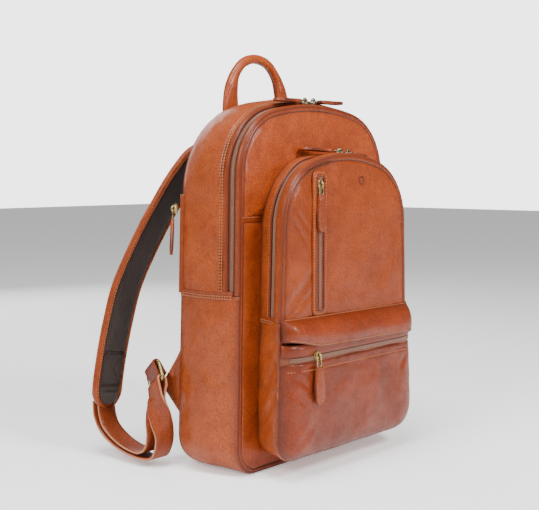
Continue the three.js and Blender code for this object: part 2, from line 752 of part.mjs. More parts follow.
// The yoke's patch with the handle's two flat ends sewn on it.
function yoke() {
  const y = BACK_Y + LEATHER + GAP;
  const bow = 8;
  const outline = [
    new THREE.Vector2(-YOKE_HALF, YOKE_BOTTOM),
    new THREE.Vector2(YOKE_HALF, YOKE_BOTTOM),
    new THREE.Vector2(YOKE_HALF, YOKE_TOP - bow),
    new THREE.Vector2(YOKE_HALF * 0.4, YOKE_TOP),
    new THREE.Vector2(-YOKE_HALF * 0.4, YOKE_TOP),
    new THREE.Vector2(-YOKE_HALF, YOKE_TOP - bow),
  ];
  const patch = stack([y, y + YOKE_THICK].map((level) => [level, outline]));
  const ends = [-1, 1].map((side) => {
    const middle = (side * HANDLE_SPAN) / 2;
    const halfWidth = HANDLE_END_WIDTH / 2;
    const halfThick = HANDLE_END_THICK / 2;
    const sewn = block(
      [middle - halfWidth, y + YOKE_THICK - 0.5, HANDLE_ROOT],
      [middle + halfWidth, HANDLE_Y + halfThick, YOKE_TOP - bow],
    );
    const tongue = block(
      [middle - halfWidth, HANDLE_Y - halfThick, HANDLE_ROOT],
      [middle + halfWidth, HANDLE_Y + halfThick, HANDLE_BEND],
    );
    return joined(sewn, tongue);
  });
  add('strap_yoke', joined(patch, ...ends), tanLeather());
}

// ---------------------------------------------------------------- shoulder straps

// The strap's middle line on its wearer side, for the left strap, from the yoke to its lower end.
// Here and in the adjuster, the second number is the distance behind the back seam.
const STRAP_ROUTE = [
  [-50, 10, 347],
  [-50.5, 18, 350],
  [-55, 27, 352],
  [-65, 38, 343],
  [-79, 47, 323],
  [-95, 57, 294],
  [-112, 72, 253],
  [-130, 90, 197],
  [-139, 98, 152],
  [-146, 102, 112],
  [-152, 103, 76],
  [-154, 102, 52],
];
// Which way the strap's width lies at its top and at its lower end.
const STRAP_ACROSS_TOP = [1, 0, 0.12];
const STRAP_ACROSS_END = [1, 0.12, -0.1];

// The adjuster's two runs between the strap's end and the ring: middle line, then the direction across.
const ADJUSTER_INNER = [
  [-155, 104.5, 48, -1, 0, 0],
  [-155.5, 100, 36, -1, 0, 0],
  [-156, 89, 27, -1, 0, 0],
  [-157, 71, 19, -1, 0, 0],
  [-158, 53, 15, -1, 0, 0],
  [-158, 35, 14, -1, 0, 0],
  [-157, 24, 21, -1, 0.05, 0],
  [-156, 20, 35, -0.95, 0.2, 0],
  [-155, 20, 50, -0.75, 0.55, -0.15],
  [-153.5, 20, 66, -0.3, 0.8, -0.45],
  [-152.5, 18, 79, 0.1, 0.78, -0.62],
];
const ADJUSTER_OUTER = [
  [-155, 115.4, 60, -1, 0, 0],
  [-156, 112.4, 43, -1, 0, 0],
  [-157, 100, 27, -1, 0, 0],
  [-157.5, 79, 16, -1, 0, 0],
  [-158, 54, 10, -1, 0, 0],
  [-158, 31, 8, -1, 0, 0],
  [-157, 15, 11, -1, 0, 0],
  [-156, 8, 24, -1, 0.05, 0],
  [-156, 7, 38, -0.95, 0.15, 0],
  [-158, 10, 54, -0.75, 0.55, -0.15],
  [-160, 13, 68, -0.3, 0.8, -0.45],
  [-161, 14.5, 79, 0.1, 0.78, -0.62],
];

const onSide = (side, [x, y, z]) => new THREE.Vector3(-side * x, y, z);

function strapStops(side, depth, thick, width, steps, from, to) {
  const line = STRAP_ROUTE.map(([x, y, z]) => onSide(side, [x, BACK_Y + y, z]));
  const route = new THREE.CatmullRomCurve3(line, false, 'centripetal');
  const top = onSide(side, STRAP_ACROSS_TOP);
  const end = onSide(side, STRAP_ACROSS_END);
  const stops = [];
  for (let i = 0; i <= steps; i++) {
    const s = mix(from, to, i / steps);
    const ahead = route.getTangentAt(s);
    const across = top.clone().lerp(end, s);
    across.addScaledVector(ahead, -across.dot(ahead)).normalize();
    const out = new THREE.Vector3().crossVectors(across, ahead).multiplyScalar(-side);
    const taper = s > 0.94 ? Math.sqrt(Math.max(0.12, 1 - ((s - 0.94) / 0.065) ** 2)) : 1;
    const place = route.getPointAt(s).addScaledVector(out, depth);
    stops.push({ place, across, out, width: width * taper, thick });
  }
  return stops;
}

function shoulderStrap(name, side) {
  const steps = 26;
  const cover = strapStops(side, STRAP_MESH + GAP, STRAP_PAD, STRAP_WIDTH, steps, 0, 1);
  add(`strap_${name}`, ribbon(cover), tanLeather());
  const lining = strapStops(side, 0, STRAP_MESH, STRAP_WIDTH - 6, steps - 2, 1 / steps, 1 - 1 / steps);
  add(`strap_mesh_${name}`, ribbon(lining), mesh());
}

// ---------------------------------------------------------------- wing, ring, adjuster, buckle

// Directions for the left side: along the ring's bars, from one bar to the other, and outwards.
const BAR = new THREE.Vector3(0.14, 0.75, -0.645).normalize();
const HANG = new THREE.Vector3(-0.25, -0.66, -0.71);
HANG.addScaledVector(BAR, -HANG.dot(BAR)).normalize();
const RING_HEAD = new THREE.Vector3(-150, BACK_Y + 31, 108);

// Pieces are shaped for the left side. The right side is its mirror image.
const sideMirror = (side) => new THREE.Matrix4().makeScale(-side, 1, 1);

function sideMatrix(side, u, v, origin) {
  const w = new THREE.Vector3().crossVectors(u, v);
  return sideMirror(side).multiply(new THREE.Matrix4().makeBasis(u, v, w).setPosition(origin));
}

// A geometry moved into place, turned over again if the move mirrored it.
function placed(geometry, matrix) {
  const moved = geometry.clone().applyMatrix4(matrix);
  moved.deleteAttribute('normal');
  moved.deleteAttribute('uv');
  const merged = mergeVertices(moved, 1e-4);
  const positions = Array.from(merged.attributes.position.array);
  merged.setIndex(facingOut(positions, Array.from(merged.index.array)));
  return merged;
}

// Distance from the middle of a square bar to leather that is wrapped round it.
const BAR_REACH = RING_WIRE * Math.SQRT1_2 + GAP;

function ring(name, side) {
  const { across, along } = RING_HOLE;
  const shape = softRectangle(across + 2 * RING_WIRE, along + 2 * RING_WIRE, 5);
  const hole = softRectangle(across, along, 2.2);
  const geometry = plate(shape, RING_WIRE, [hole]).translate(0, along / 2 + RING_WIRE / 2, -RING_WIRE / 2);
  add(`ring_${name}`, placed(geometry, sideMatrix(side, BAR, HANG, RING_HEAD)), brass());
}

// The wing: a triangle of doubled leather sewn into the back seam, with a strip round the ring.
const WING_TOP = 131;
const WING_FOOT = 56;
const WING_THICK = 4;
const LOOP_WIDTH = 23;
const LOOP_THICK = 2.2;

function wing(name, side) {
  const away = new THREE.Vector3().crossVectors(BAR, new THREE.Vector3(1, 0, 0)).normalize();
  if (away.z < 0) away.negate();
  const tail = RING_HEAD.clone().addScaledVector(away, -15).add(new THREE.Vector3(7.5, 0, 0));
  const tip = [-1, 1].map((s) => tail.clone().addScaledVector(BAR, (s * LOOP_WIDTH) / 2));
  const seamX = -sideX(BACK_ARCH, 0, WING_FOOT) + 4;
  const seamY = BACK_Y + LEATHER + 2 * GAP;
  const corners = [
    new THREE.Vector3(seamX, seamY, WING_TOP),
    tip[0],
    tip[1],
    new THREE.Vector3(seamX, seamY, WING_FOOT),
  ];
  const thick = new THREE.Vector3(WING_THICK, 0, 0);
  const rings = [corners, corners.map((p) => p.clone().add(thick))];
  const flat = corners.map((p) => new THREE.Vector2(p.y, p.z));
  add(`wing_${name}`, placed(skin(rings, flat), sideMirror(side)), tanLeather());
  ringLoop(name, side, away);
}

// The strip of leather that comes up from the wing, turns round the ring's upper bar and returns.
function ringLoop(name, side, away) {
  const reach = BAR_REACH;
  const out = new THREE.Vector3().crossVectors(away, BAR).normalize();
  if (out.x > 0) out.negate();
  const points = [];
  const tail = 14;
  const steps = 6;
  const wall = (radius, list) => {
    list.push([-tail, -radius]);
    for (let i = 0; i <= steps; i++) {
      const a = -Math.PI / 2 + (Math.PI * i) / steps;
      list.push([radius * Math.cos(a), radius * Math.sin(a)]);
    }
    list.push([-tail, radius]);
  };
  const outer = [];
  const inner = [];
  wall(reach + LOOP_THICK, outer);
  wall(reach, inner);
  points.push(...outer, ...inner.reverse());
  const shape = points.map(([u, v]) => new THREE.Vector2(u, v));
  const geometry = plate(shape, LOOP_WIDTH).translate(0, 0, -LOOP_WIDTH / 2);
  add(`ring_loop_${name}`, placed(geometry, sideMatrix(side, away, out, RING_HEAD)), tanLeather());
}

// The adjuster leaves the strap's end, turns round the ring's lower bar and comes back beside itself.
function adjuster(name, side) {
  const stop = ([x, y, z, ...across]) => {
    return { place: new THREE.Vector3(x, BACK_Y + y, z), across: new THREE.Vector3(...across) };
  };
  const low = RING_HEAD.clone().addScaledVector(HANG, RING_HOLE.along + RING_WIRE);
  const clear = BAR_REACH + GAP + ADJUSTER_THICK / 2;
  const outward = new THREE.Vector3().crossVectors(BAR, HANG).normalize();
  if (outward.x > 0) outward.negate();
  const turn = [-90, -45, 0, 45, 90].map((degrees) => {
    const a = THREE.MathUtils.degToRad(degrees);
    const place = low.clone();
    place.addScaledVector(HANG, -clear * Math.cos(a));
    place.addScaledVector(outward, clear * Math.sin(a));
    return { place, across: BAR.clone() };
  });
  const stops = [...ADJUSTER_INNER.map(stop), ...turn, ...ADJUSTER_OUTER.map(stop).reverse()];
  const curve = new THREE.CatmullRomCurve3(stops.map((s) => s.place), false, 'centripetal');
  const last = stops.length - 1;
  const parts = 2;
  const rings = [];
  for (let i = 0; i <= last * parts; i++) {
    const from = stops[Math.floor(i / parts)];
    const next = stops[Math.min(Math.floor(i / parts) + 1, last)];
    const t = i / (last * parts);
    const ahead = curve.getTangent(t);
    const across = from.across.clone().lerp(next.across, (i % parts) / parts);
    across.addScaledVector(ahead, -across.dot(ahead)).normalize();
    const out = new THREE.Vector3().crossVectors(ahead, across).normalize();
    const place = curve.getPoint(t).addScaledVector(out, -ADJUSTER_THICK / 2);
    rings.push({ place, across, out, width: ADJUSTER_WIDTH, thick: ADJUSTER_THICK });
  }
  add(`adjuster_${name}`, placed(ribbon(rings), sideMirror(side)), splitLeather());
}

// Sliding buckle on the strap's outer face, above its lower end.
function buckle(name, side) {
  const stops = strapStops(-1, STRAP_MESH + STRAP_PAD + 3 * GAP, 1, 1, 100, 0, 1);
  const { place, across, out } = stops[93];
  const down = new THREE.Vector3().crossVectors(across, out).normalize();
  if (down.z > 0) down.negate();
  const { length, width, wire } = BUCKLE;
  const half = width / 2 - wire;
  const slots = [
    block([wire - length / 2, -half, -1], [-wire / 2, half, wire + 1]),
    block([wire / 2, -half, -1], [length / 2 - wire, half, wire + 1]),
  ];
  const frame = cut(plate(softRectangle(length, width, 4), wire), ...slots);
  const sideways = new THREE.Vector3().crossVectors(out, down);
  const matrix = new THREE.Matrix4().makeBasis(down, sideways, out).setPosition(place);
  add(`buckle_${name}`, placed(frame, sideMirror(side).multiply(matrix)), brass());
}

frontPanels();
gussets();
mainZip();
backPanel();
liningAndBoards();
pocketGussets();
pocketPanel();
uprightZip();
pocketBand();
lowerPouch();
pouchZip();
sideZip();
allPulls();
handle();
yoke();
for (const [name, side] of [['left', -1], ['right', 1]]) {
  shoulderStrap(name, side);
  wing(name, side);
  ring(name, side);
  adjuster(name, side);
  buckle(name, side);
}

export default bag;
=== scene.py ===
# %% [markdown]
# # A tan leather backpack
#
# The bag is a soft box of thick, burnished leather. An arched zip runs over the body, a second arched zip
# over the front pocket, and a small upright zip and a low pouch sit on the pocket's face. A rolled handle
# and two padded straps are sewn to the back. The moving pieces already exist as plain solids in a
# frame. Here each one gets its real surface: rolled edges, stitches, teeth, cast brass and grain.

# %% The frame
import json
import math

import bpy
import numpy as np
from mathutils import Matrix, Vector, noise


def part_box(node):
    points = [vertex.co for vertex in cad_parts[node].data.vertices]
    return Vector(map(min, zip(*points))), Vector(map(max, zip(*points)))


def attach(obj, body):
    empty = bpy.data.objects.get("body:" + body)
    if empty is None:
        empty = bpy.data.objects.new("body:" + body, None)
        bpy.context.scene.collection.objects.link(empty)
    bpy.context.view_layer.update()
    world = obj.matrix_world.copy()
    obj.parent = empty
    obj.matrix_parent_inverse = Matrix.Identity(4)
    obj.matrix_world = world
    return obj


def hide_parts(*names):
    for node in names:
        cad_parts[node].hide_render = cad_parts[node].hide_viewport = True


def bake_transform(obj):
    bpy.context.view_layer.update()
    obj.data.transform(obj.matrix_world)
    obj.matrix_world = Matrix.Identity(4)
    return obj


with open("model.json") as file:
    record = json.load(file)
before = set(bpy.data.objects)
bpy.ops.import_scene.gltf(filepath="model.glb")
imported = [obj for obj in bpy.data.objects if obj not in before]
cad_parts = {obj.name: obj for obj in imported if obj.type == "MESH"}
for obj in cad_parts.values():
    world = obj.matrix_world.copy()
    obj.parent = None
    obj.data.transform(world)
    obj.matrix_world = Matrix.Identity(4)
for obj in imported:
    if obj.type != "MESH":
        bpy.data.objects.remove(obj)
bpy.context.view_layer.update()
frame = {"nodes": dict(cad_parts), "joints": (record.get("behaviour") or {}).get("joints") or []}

# %% [markdown]
# ## The camera
#
# A long lens, about 70 mm, looks at the left front corner from about 70 per cent of the bag's height. It
# keeps the upright edges nearly parallel, which is how goods are usually shown. The camera stands still and
# level apart from a small downward tilt, so there is no need for a target object.

# %% Camera
EYE = (-0.93884, -0.7911, 0.32802)
YAW = math.radians(-48.841)
TILT = math.radians(90 - 4.596)

lens = bpy.data.cameras.new("camera")
lens.lens = 70.13
lens.sensor_width = 36
lens.sensor_fit = "HORIZONTAL"
lens.clip_start = 0.01
camera = bpy.data.objects.new("camera", lens)
camera.location = EYE
camera.rotation_euler = (TILT, 0, YAW)
bpy.context.scene.collection.objects.link(camera)
bpy.context.scene.camera = camera
print("camera", [round(x, 3) for x in EYE])

# %% [markdown]
# ## Studio and floor
#
# Leather shows its polish only when it has something to reflect. Two small soft lamps in front draw the
# bright patches, a larger one on the left opens up the side, one above lights the crown and one behind the
# back. The sky is weak, so the lamps shape the bag. The empty backdrop has a white of its own, and the
# floor glows a little, so that it stays pale between the lamps.

# %% Lamps, floor and world
scene = bpy.context.scene


def lamp(name, place, target, size, watts, colour=(1, 1, 1)):
    light = bpy.data.lights.new(name, "AREA")
    light.shape = "RECTANGLE"
    light.size, light.size_y = size
    light.energy = watts
    light.color = colour
    holder = bpy.data.objects.new(name, light)
    holder.location = place
    holder.rotation_euler = (Vector(target) - Vector(place)).to_track_quat("-Z", "Y").to_euler()
    scene.collection.objects.link(holder)
    return holder


MIDDLE = (0, 0, 0.22)
lamp("front_softbox", (0.0, -1.15, 1.15), (0, 0, 0.3), (0.42, 0.42), 21)
lamp("low_front_softbox", (0.62, -1.35, 0.62), MIDDLE, (0.22, 0.3), 6)
lamp("left_softbox", (-1.25, -0.1, 1.05), (0, 0, 0.3), (0.6, 0.7), 15)
lamp("top_softbox", (-0.4, -0.1, 1.6), MIDDLE, (0.7, 0.6), 22)
lamp("back_softbox", (0.5, 1.5, 0.8), MIDDLE, (1.0, 1.0), 12)

world = bpy.data.worlds.new("studio")
scene.world = world
world.use_nodes = True
sky = world.node_tree.nodes["Background"]
sky.inputs["Color"].default_value = (1, 1, 1, 1)
sky.inputs["Strength"].default_value = 0.22
# The bag is lit by a weak sky, and the empty backdrop behind it is a brighter, plain white.
sky_tree = world.node_tree
backdrop = sky_tree.nodes.new("ShaderNodeBackground")
backdrop.inputs["Strength"].default_value = 4.5
seen = sky_tree.nodes.new("ShaderNodeLightPath")
either = sky_tree.nodes.new("ShaderNodeMixShader")
sky_tree.links.new(seen.outputs["Is Camera Ray"], either.inputs[0])
sky_tree.links.new(sky.outputs[0], either.inputs[1])
sky_tree.links.new(backdrop.outputs[0], either.inputs[2])
sky_tree.links.new(either.outputs[0], sky_tree.nodes["World Output"].inputs["Surface"])

bpy.ops.mesh.primitive_plane_add(size=14, location=(0, 0, -0.0005))
floor = bpy.context.object
floor.name = "floor"

# %% [markdown]
# ## A little node toolbox
#
# Every finish below is a small graph of nodes. One helper adds a node, sets it up and links its inputs,
# so a material reads from top to bottom like a recipe. Colours are written as the hex values a painter
# would pick on a screen and converted once to the linear values that the renderer uses.

# %% Node helpers
MM = 0.001


def linear(hex_colour):
    parts = [int(hex_colour[i : i + 2], 16) / 255 for i in (0, 2, 4)]
    straight = [c / 12.92 if c <= 0.04045 else ((c + 0.055) / 1.055) ** 2.4 for c in parts]
    return (*straight, 1)


def add_node(tree, kind, settings=None, inputs=None):
    """A node with its settings, and its inputs each set to a value or linked to a socket."""
    made = tree.nodes.new(kind)
    for key, value in (settings or {}).items():
        setattr(made, key, value)
    for key, value in (inputs or {}).items():
        if isinstance(value, bpy.types.NodeSocket):
            tree.links.new(value, made.inputs[key])
        else:
            made.inputs[key].default_value = value
    return made


def new_material(name):
    material = bpy.data.materials.new(name)
    material.use_nodes = True
    tree = material.node_tree
    shader = tree.nodes["Principled BSDF"]
    return material, tree, shader


def in_millimetres(tree):
    """The point on the object, measured in millimetres."""
    where = add_node(tree, "ShaderNodeTexCoord")
    scaled = add_node(tree, "ShaderNodeVectorMath", {"operation": "SCALE"},
        {0: where.outputs["Object"], "Scale": 1000})
    return scaled.outputs[0]


def noise_of(tree, point, per_mm, detail=3, rough=0.55, distortion=0):
    made = add_node(
        tree,
        "ShaderNodeTexNoise",
        {},
        {"Vector": point, "Scale": per_mm, "Detail": detail, "Roughness": rough, "Distortion": distortion},
    )
    return made.outputs["Fac"]


def mix_colour(tree, factor, one, two, blend="MIX"):
    made = add_node(tree, "ShaderNodeMix", {"data_type": "RGBA", "blend_type": blend},
        {0: factor, 6: one, 7: two})
    return made.outputs[2]


def span(tree, value, low, high, to_low=0.0, to_high=1.0):
    """Stretches value from low..high to to_low..to_high and stops at the ends."""
    made = add_node(
        tree,
        "ShaderNodeMapRange",
        {},
        {"Value": value, "From Min": low, "From Max": high, "To Min": to_low, "To Max": to_high},
    )
    return made.outputs[0]


def bump(tree, height, strength, distance_mm, under=None):
    inputs = {"Height": height, "Strength": strength, "Distance": distance_mm * MM}
    if under is not None:
        inputs["Normal"] = under
    return add_node(tree, "ShaderNodeBump", {}, inputs).outputs["Normal"]


floor_paint, tree, shader = new_material("pale_floor")
shader.inputs["Base Color"].default_value = linear("FFFFFF")
shader.inputs["Emission Color"].default_value = (1, 1, 1, 1)
shader.inputs["Emission Strength"].default_value = 0.35
shader.inputs["Roughness"].default_value = 0.9
floor.data.materials.append(floor_paint)

# %% [markdown]
# ## Burnished leather
#
# Cow leather for bags is dyed through, then waxed and brushed. Three things give it away: a pebble grain
# of cells about a millimetre across, colour that drifts from orange tan to red brown over a few
# centimetres, and a polish that is stronger on the high spots. Each mesh carries a number called seam, 1 at
# a seam and 0 away from it, and the colour turns darker where it is high. That darkening is partly the
# hide's own darker, stretched edges and partly painted shade in the grooves, tucks and pleats beside the
# seams.

# %% Leather
def leather(name, light, middle, dark, polish=0.42, grain=0.5, cell=0.75, edge=0.95):
    material, tree, shader = new_material(name)
    point = in_millimetres(tree)
    clouds = noise_of(tree, point, 0.017, 3, 0.6, 0.6)
    patches = noise_of(tree, point, 0.075, 4, 0.62)
    speckle = noise_of(tree, point, 0.55, 3, 0.6)
    pebbles = add_node(
        tree,
        "ShaderNodeTexVoronoi",
        {"feature": "DISTANCE_TO_EDGE"},
        {"Vector": point, "Scale": cell, "Randomness": 1},
    ).outputs["Distance"]
    furrow = span(tree, pebbles, 0.0, 0.16)
    colour = mix_colour(tree, span(tree, clouds, 0.34, 0.66), linear(middle), linear(light))
    colour = mix_colour(tree, span(tree, patches, 0.45, 0.8, 0, 0.42), colour, linear(dark))
    colour = mix_colour(tree, span(tree, speckle, 0.42, 0.7, 0, 0.6), colour, linear(dark))
    colour = mix_colour(tree, span(tree, furrow, 0.0, 1.0, 0.7, 0.0), colour, linear(dark))
    # The seam number darkens the colour: partly the hide's darker edges, partly painted shade in grooves,
    # tucks and under edges.
    seam = add_node(tree, "ShaderNodeAttribute", {"attribute_name": "seam"}).outputs["Fac"]
    colour = mix_colour(tree, span(tree, seam, 0.0, 1.0, 0.0, edge), colour, linear(dark))
    tree.links.new(colour, shader.inputs["Base Color"])
    # Polish comes and goes over a few centimetres, and the furrows between pebbles stay dull.
    shine = span(tree, patches, 0.35, 0.7, polish - 0.04, polish + 0.14)
    dull = span(tree, furrow, 0.0, 1.0, 0.12, 0.0)
    rough = add_node(tree, "ShaderNodeMath", {"operation": "ADD"}, {0: shine, 1: dull}).outputs[0]
    tree.links.new(rough, shader.inputs["Roughness"])
    shader.inputs["Specular IOR Level"].default_value = 0.2
    shader.inputs["IOR"].default_value = 1.5
    # A thin wax coat gives the wide soft glow on the puffed shoulders.
    shader.inputs["Coat Weight"].default_value = 0.25
    shader.inputs["Coat Roughness"].default_value = 0.18
    fine = noise_of(tree, point, 1.6, 2)
    creases = noise_of(tree, point, 0.22, 3, 0.6, 1.2)
    normal = bump(tree, creases, 0.42, 1.5)
    normal = bump(tree, furrow, grain, 0.2, normal)
    normal = bump(tree, fine, 0.25, 0.10, normal)
    tree.links.new(normal, shader.inputs["Normal"])
    return material


panel_leather = leather("panel_leather", "BC541F", "A4420F", "5E1F04", polish=0.38, grain=0.42)
side_leather = leather("side_leather", "B6531E", "9E4413", "5C2006", polish=0.5, grain=0.6, cell=0.7)
trim_leather = leather("trim_leather", "A8481A", "903B0F", "521A05", polish=0.4, grain=0.4, cell=0.9)
band_leather = leather("band_leather", "A23E0E", "8A3206", "4A1600", polish=0.34, grain=0.35)
loop_leather = leather("loop_leather", "8E3410", "762A0A", "401404", polish=0.26, grain=0.25, cell=0.9)
print("leathers made:", sum("leather" in paint.name for paint in bpy.data.materials))

# %% [markdown]
# ## Cut leather, thread, tape, mesh and metal
#
# Where leather is cut, the pale felt-like core shows, so the adjuster straps have a rougher finish. Thread
# is waxed polyester, a twist of fine strands. Zip tape and lining are twills, and the straps are lined
# with an open mesh. The metal is brass with an old, satin finish: bright in some patches, brown and
# rougher in others.

# %% Cloths, threads and metals
def twill(name, light, dark, pitch, rough=0.9, along=(1, 0.35, 1)):
    """A woven cloth whose ribs are pitch millimetres apart and run on the slant."""
    material, tree, shader = new_material(name)
    point = in_millimetres(tree)
    turned = add_node(tree, "ShaderNodeVectorMath", {"operation": "MULTIPLY"},
        {0: point, 1: along}).outputs[0]
    ribs = add_node(
        tree,
        "ShaderNodeTexWave",
        {"bands_direction": "DIAGONAL", "wave_profile": "SIN"},
        {"Vector": turned, "Scale": 0.36 / pitch, "Distortion": 0.6, "Detail": 2, "Detail Scale": 2.0},
    ).outputs["Fac"]
    fuzz = noise_of(tree, point, 1.2, 3)
    colour = mix_colour(tree, span(tree, ribs, 0.15, 0.85), linear(dark), linear(light))
    colour = mix_colour(tree, span(tree, fuzz, 0.35, 0.75, 0, 0.5), colour, linear(dark))
    tree.links.new(colour, shader.inputs["Base Color"])
    shader.inputs["Roughness"].default_value = rough
    shader.inputs["Sheen Weight"].default_value = 0.15
    shader.inputs["Sheen Roughness"].default_value = 0.5
    normal = bump(tree, ribs, 0.8, 0.35)
    tree.links.new(bump(tree, fuzz, 0.4, 0.2, normal), shader.inputs["Normal"])
    return material


def suede(name, light, dark):
    """Rough split leather: short, matt fibres."""
    material, tree, shader = new_material(name)
    point = in_millimetres(tree)
    fibres = noise_of(tree, point, 0.9, 5, 0.7)
    drift = noise_of(tree, point, 0.05, 3)
    colour = mix_colour(tree, span(tree, fibres, 0.3, 0.7), linear(dark), linear(light))
    colour = mix_colour(tree, span(tree, drift, 0.4, 0.7, 0, 0.4), colour, linear(dark))
    tree.links.new(colour, shader.inputs["Base Color"])
    shader.inputs["Roughness"].default_value = 0.82
    shader.inputs["Sheen Weight"].default_value = 0.2
    shader.inputs["Sheen Roughness"].default_value = 0.6
    tree.links.new(bump(tree, fibres, 0.8, 0.3), shader.inputs["Normal"])
    return material


def thread(name, colour_hex):
    material, tree, shader = new_material(name)
    strands = noise_of(tree, in_millimetres(tree), 3.0, 2)
    dark = tuple(0.55 * c for c in linear(colour_hex)[:3]) + (1,)
    colour = mix_colour(tree, span(tree, strands, 0.35, 0.7), dark, linear(colour_hex))
    tree.links.new(colour, shader.inputs["Base Color"])
    shader.inputs["Roughness"].default_value = 0.55
    return material


def old_brass(name, bright, brown, rough=0.28):
    """Satin brass: a metal whose tarnish darkens and roughens it in patches."""
    material, tree, shader = new_material(name)
    point = in_millimetres(tree)
    tarnish = noise_of(tree, point, 0.35, 4, 0.65)
    scratches = noise_of(tree, point, 2.4, 2)
    colour = mix_colour(tree, span(tree, tarnish, 0.42, 0.68), linear(bright), linear(brown))
    tree.links.new(colour, shader.inputs["Base Color"])
    shader.inputs["Metallic"].default_value = 1
    tree.links.new(span(tree, tarnish, 0.35, 0.7, rough, rough + 0.22), shader.inputs["Roughness"])
    tree.links.new(bump(tree, scratches, 0.15, 0.05), shader.inputs["Normal"])
    return material


pale_thread = thread("pale_thread", "C8743E")
dark_thread = thread("dark_thread", "4B2415")
# Near-black blobs between stitches: painted shade for the needle holes.
stitch_hole_shade = thread("painted_hole_shade", "2A0F06")
zip_tape = twill("zip_tape", "8A4624", "5A2A14", 0.8)
zip_teeth = thread("zip_teeth", "98705C")
strap_mesh = twill("strap_mesh", "47352D", "1C130F", 1.5)
lining = twill("lining", "4A382E", "2B1F18", 0.9)
back_mesh = twill("back_mesh", "4A372D", "1F1611", 2.0)
rough_leather = suede("rough_leather", "C27A50", "8F4E2E")
brass = old_brass("brass", "B9A06A", "6B5836")
gunmetal = old_brass("gunmetal", "8C8068", "3C352A", 0.3)
print("finishes made:", len(bpy.data.materials))

# %% [markdown]
# ## Outlines in millimetres
#
# Every panel of the body and of the pocket follows one family of arches: a crown arc, two shoulder arcs,
# sides that flare a little, and round feet. A curve object could trace one arch, but the panels need
# hundreds of points that match up from one depth to the next, with an outward direction at each, so
# the arches are worked out with a few lines of trigonometry.

# %% Arches
BODY_FRONT = -41.0
BODY_BACK = 41.0
POCKET_ROOT = -41.4
POCKET_FACE = -86.4
SWELL = 7.0
FRONT_ARCH = {"half": 127, "top": 400, "crown": 330, "corner": 70, "flare": 6, "foot": 29, "rise": 0}
BACK_ARCH = {"half": 131.5, "top": 404, "crown": 330, "corner": 100, "flare": 10, "foot": 36, "rise": 0}
ROOT_ARCH = {"half": 95, "top": 346, "crown": 215, "corner": 83, "flare": 8.5, "foot": 26, "rise": 19.5}
FACE_ARCH = {"half": 112.5, "top": 346, "crown": 210, "corner": 71, "flare": 10, "foot": 26, "rise": 19.5}


def between(one, two, share):
    return {key: one[key] + (two[key] - one[key]) * share for key in one}


def body_arch(y):
    share = min(max((y - BODY_FRONT) / (BODY_BACK - BODY_FRONT), 0.0), 1.0)
    swell = SWELL * math.sin(math.pi * share)
    arch = between(FRONT_ARCH, BACK_ARCH, share)
    for key in ("half", "top", "corner", "foot"):
        arch[key] += swell
    return arch


def pocket_arch(y):
    share = min(max((POCKET_ROOT - y) / (POCKET_ROOT - POCKET_FACE), -0.05), 1.05)
    return between(ROOT_ARCH, FACE_ARCH, share)


def corner_height(arch):
    """Height at which the shoulder arc runs into the straight side."""
    crown, corner, half = arch["crown"], arch["corner"], arch["half"]
    return arch["top"] - crown + math.sqrt((crown - corner) ** 2 - (half - corner) ** 2)


def side_at(arch, z):
    """Half width of an arch at height z, on its straight, flaring side."""
    corner_z = corner_height(arch)
    return arch["half"] + arch["flare"] * (corner_z - z) / corner_z


def half_arch(arch, low, count=(30, 30, 46)):
    """Right half from the crown's middle down to the height low: points, outward directions."""
    crown, corner, half = arch["crown"], arch["corner"], arch["half"]
    crown_z = arch["top"] - crown
    corner_x = half - corner
    corner_z = corner_height(arch)
    turn = math.asin(corner_x / (crown - corner))
    points = []
    outs = []
    for angle in np.linspace(0, turn, count[0], endpoint=False):
        outs.append((math.sin(angle), math.cos(angle)))
        points.append((crown * math.sin(angle), crown_z + crown * math.cos(angle)))
    for angle in np.linspace(turn, math.pi / 2, count[1], endpoint=False):
        outs.append((math.sin(angle), math.cos(angle)))
        points.append((corner_x + corner * math.sin(angle), corner_z + corner * math.cos(angle)))
    for z in np.linspace(corner_z, low, count[2]):
        outs.append((1.0, 0.0))
        points.append((side_at(arch, z), z))
    return np.array(points), np.array(outs)


def half_base(arch, high, count=(36, 16, 26)):
    """Right half from the height high down round the foot to the middle of the base."""
    floor_z, foot = arch["rise"], arch["foot"]
    edge = side_at(arch, floor_z + foot)
    points = []
    outs = []
    for z in np.linspace(high, floor_z + foot, count[0], endpoint=False):
        outs.append((1.0, 0.0))
        points.append((side_at(arch, z), z))
    for angle in np.linspace(0, math.pi / 2, count[1], endpoint=False):
        outs.append((math.cos(angle), -math.sin(angle)))
        points.append((edge - foot + foot * math.cos(angle), floor_z + foot - foot * math.sin(angle)))
    for x in np.linspace(edge - foot, 0, count[2]):
        outs.append((0.0, -1.0))
        points.append((x, floor_z))
    return np.array(points), np.array(outs)


def both_halves(points, outs, from_left):
    """The half and its mirror image as one path."""
    flip = np.array([-1, 1])
    if from_left:
        return np.vstack([(points * flip)[::-1][:-1], points]), np.vstack([(outs * flip)[::-1][:-1], outs])
    return np.vstack([points, (points * flip)[::-1][1:]]), np.vstack([outs, (outs * flip)[::-1][1:]])


def over_crown(arch, low):
    return both_halves(*half_arch(arch, low), True)


def under_base(arch, high):
    return both_halves(*half_base(arch, high), False)


print("crown path points:", len(over_crown(FRONT_ARCH, 195)[0]))

# %% [markdown]
# ## Meshes from grids
#
# A panel of leather is a grid of points: along the seam one way and across the panel the other. Writing the
# grid out gives full control of folds and rolled edges, which sculpting by hand would not repeat the
# same way twice. A Solidify modifier then gives the hide its thickness.

# %% Mesh helpers
HIDE = 2.0
BOTH_SIDES = (("left", -1), ("right", 1))


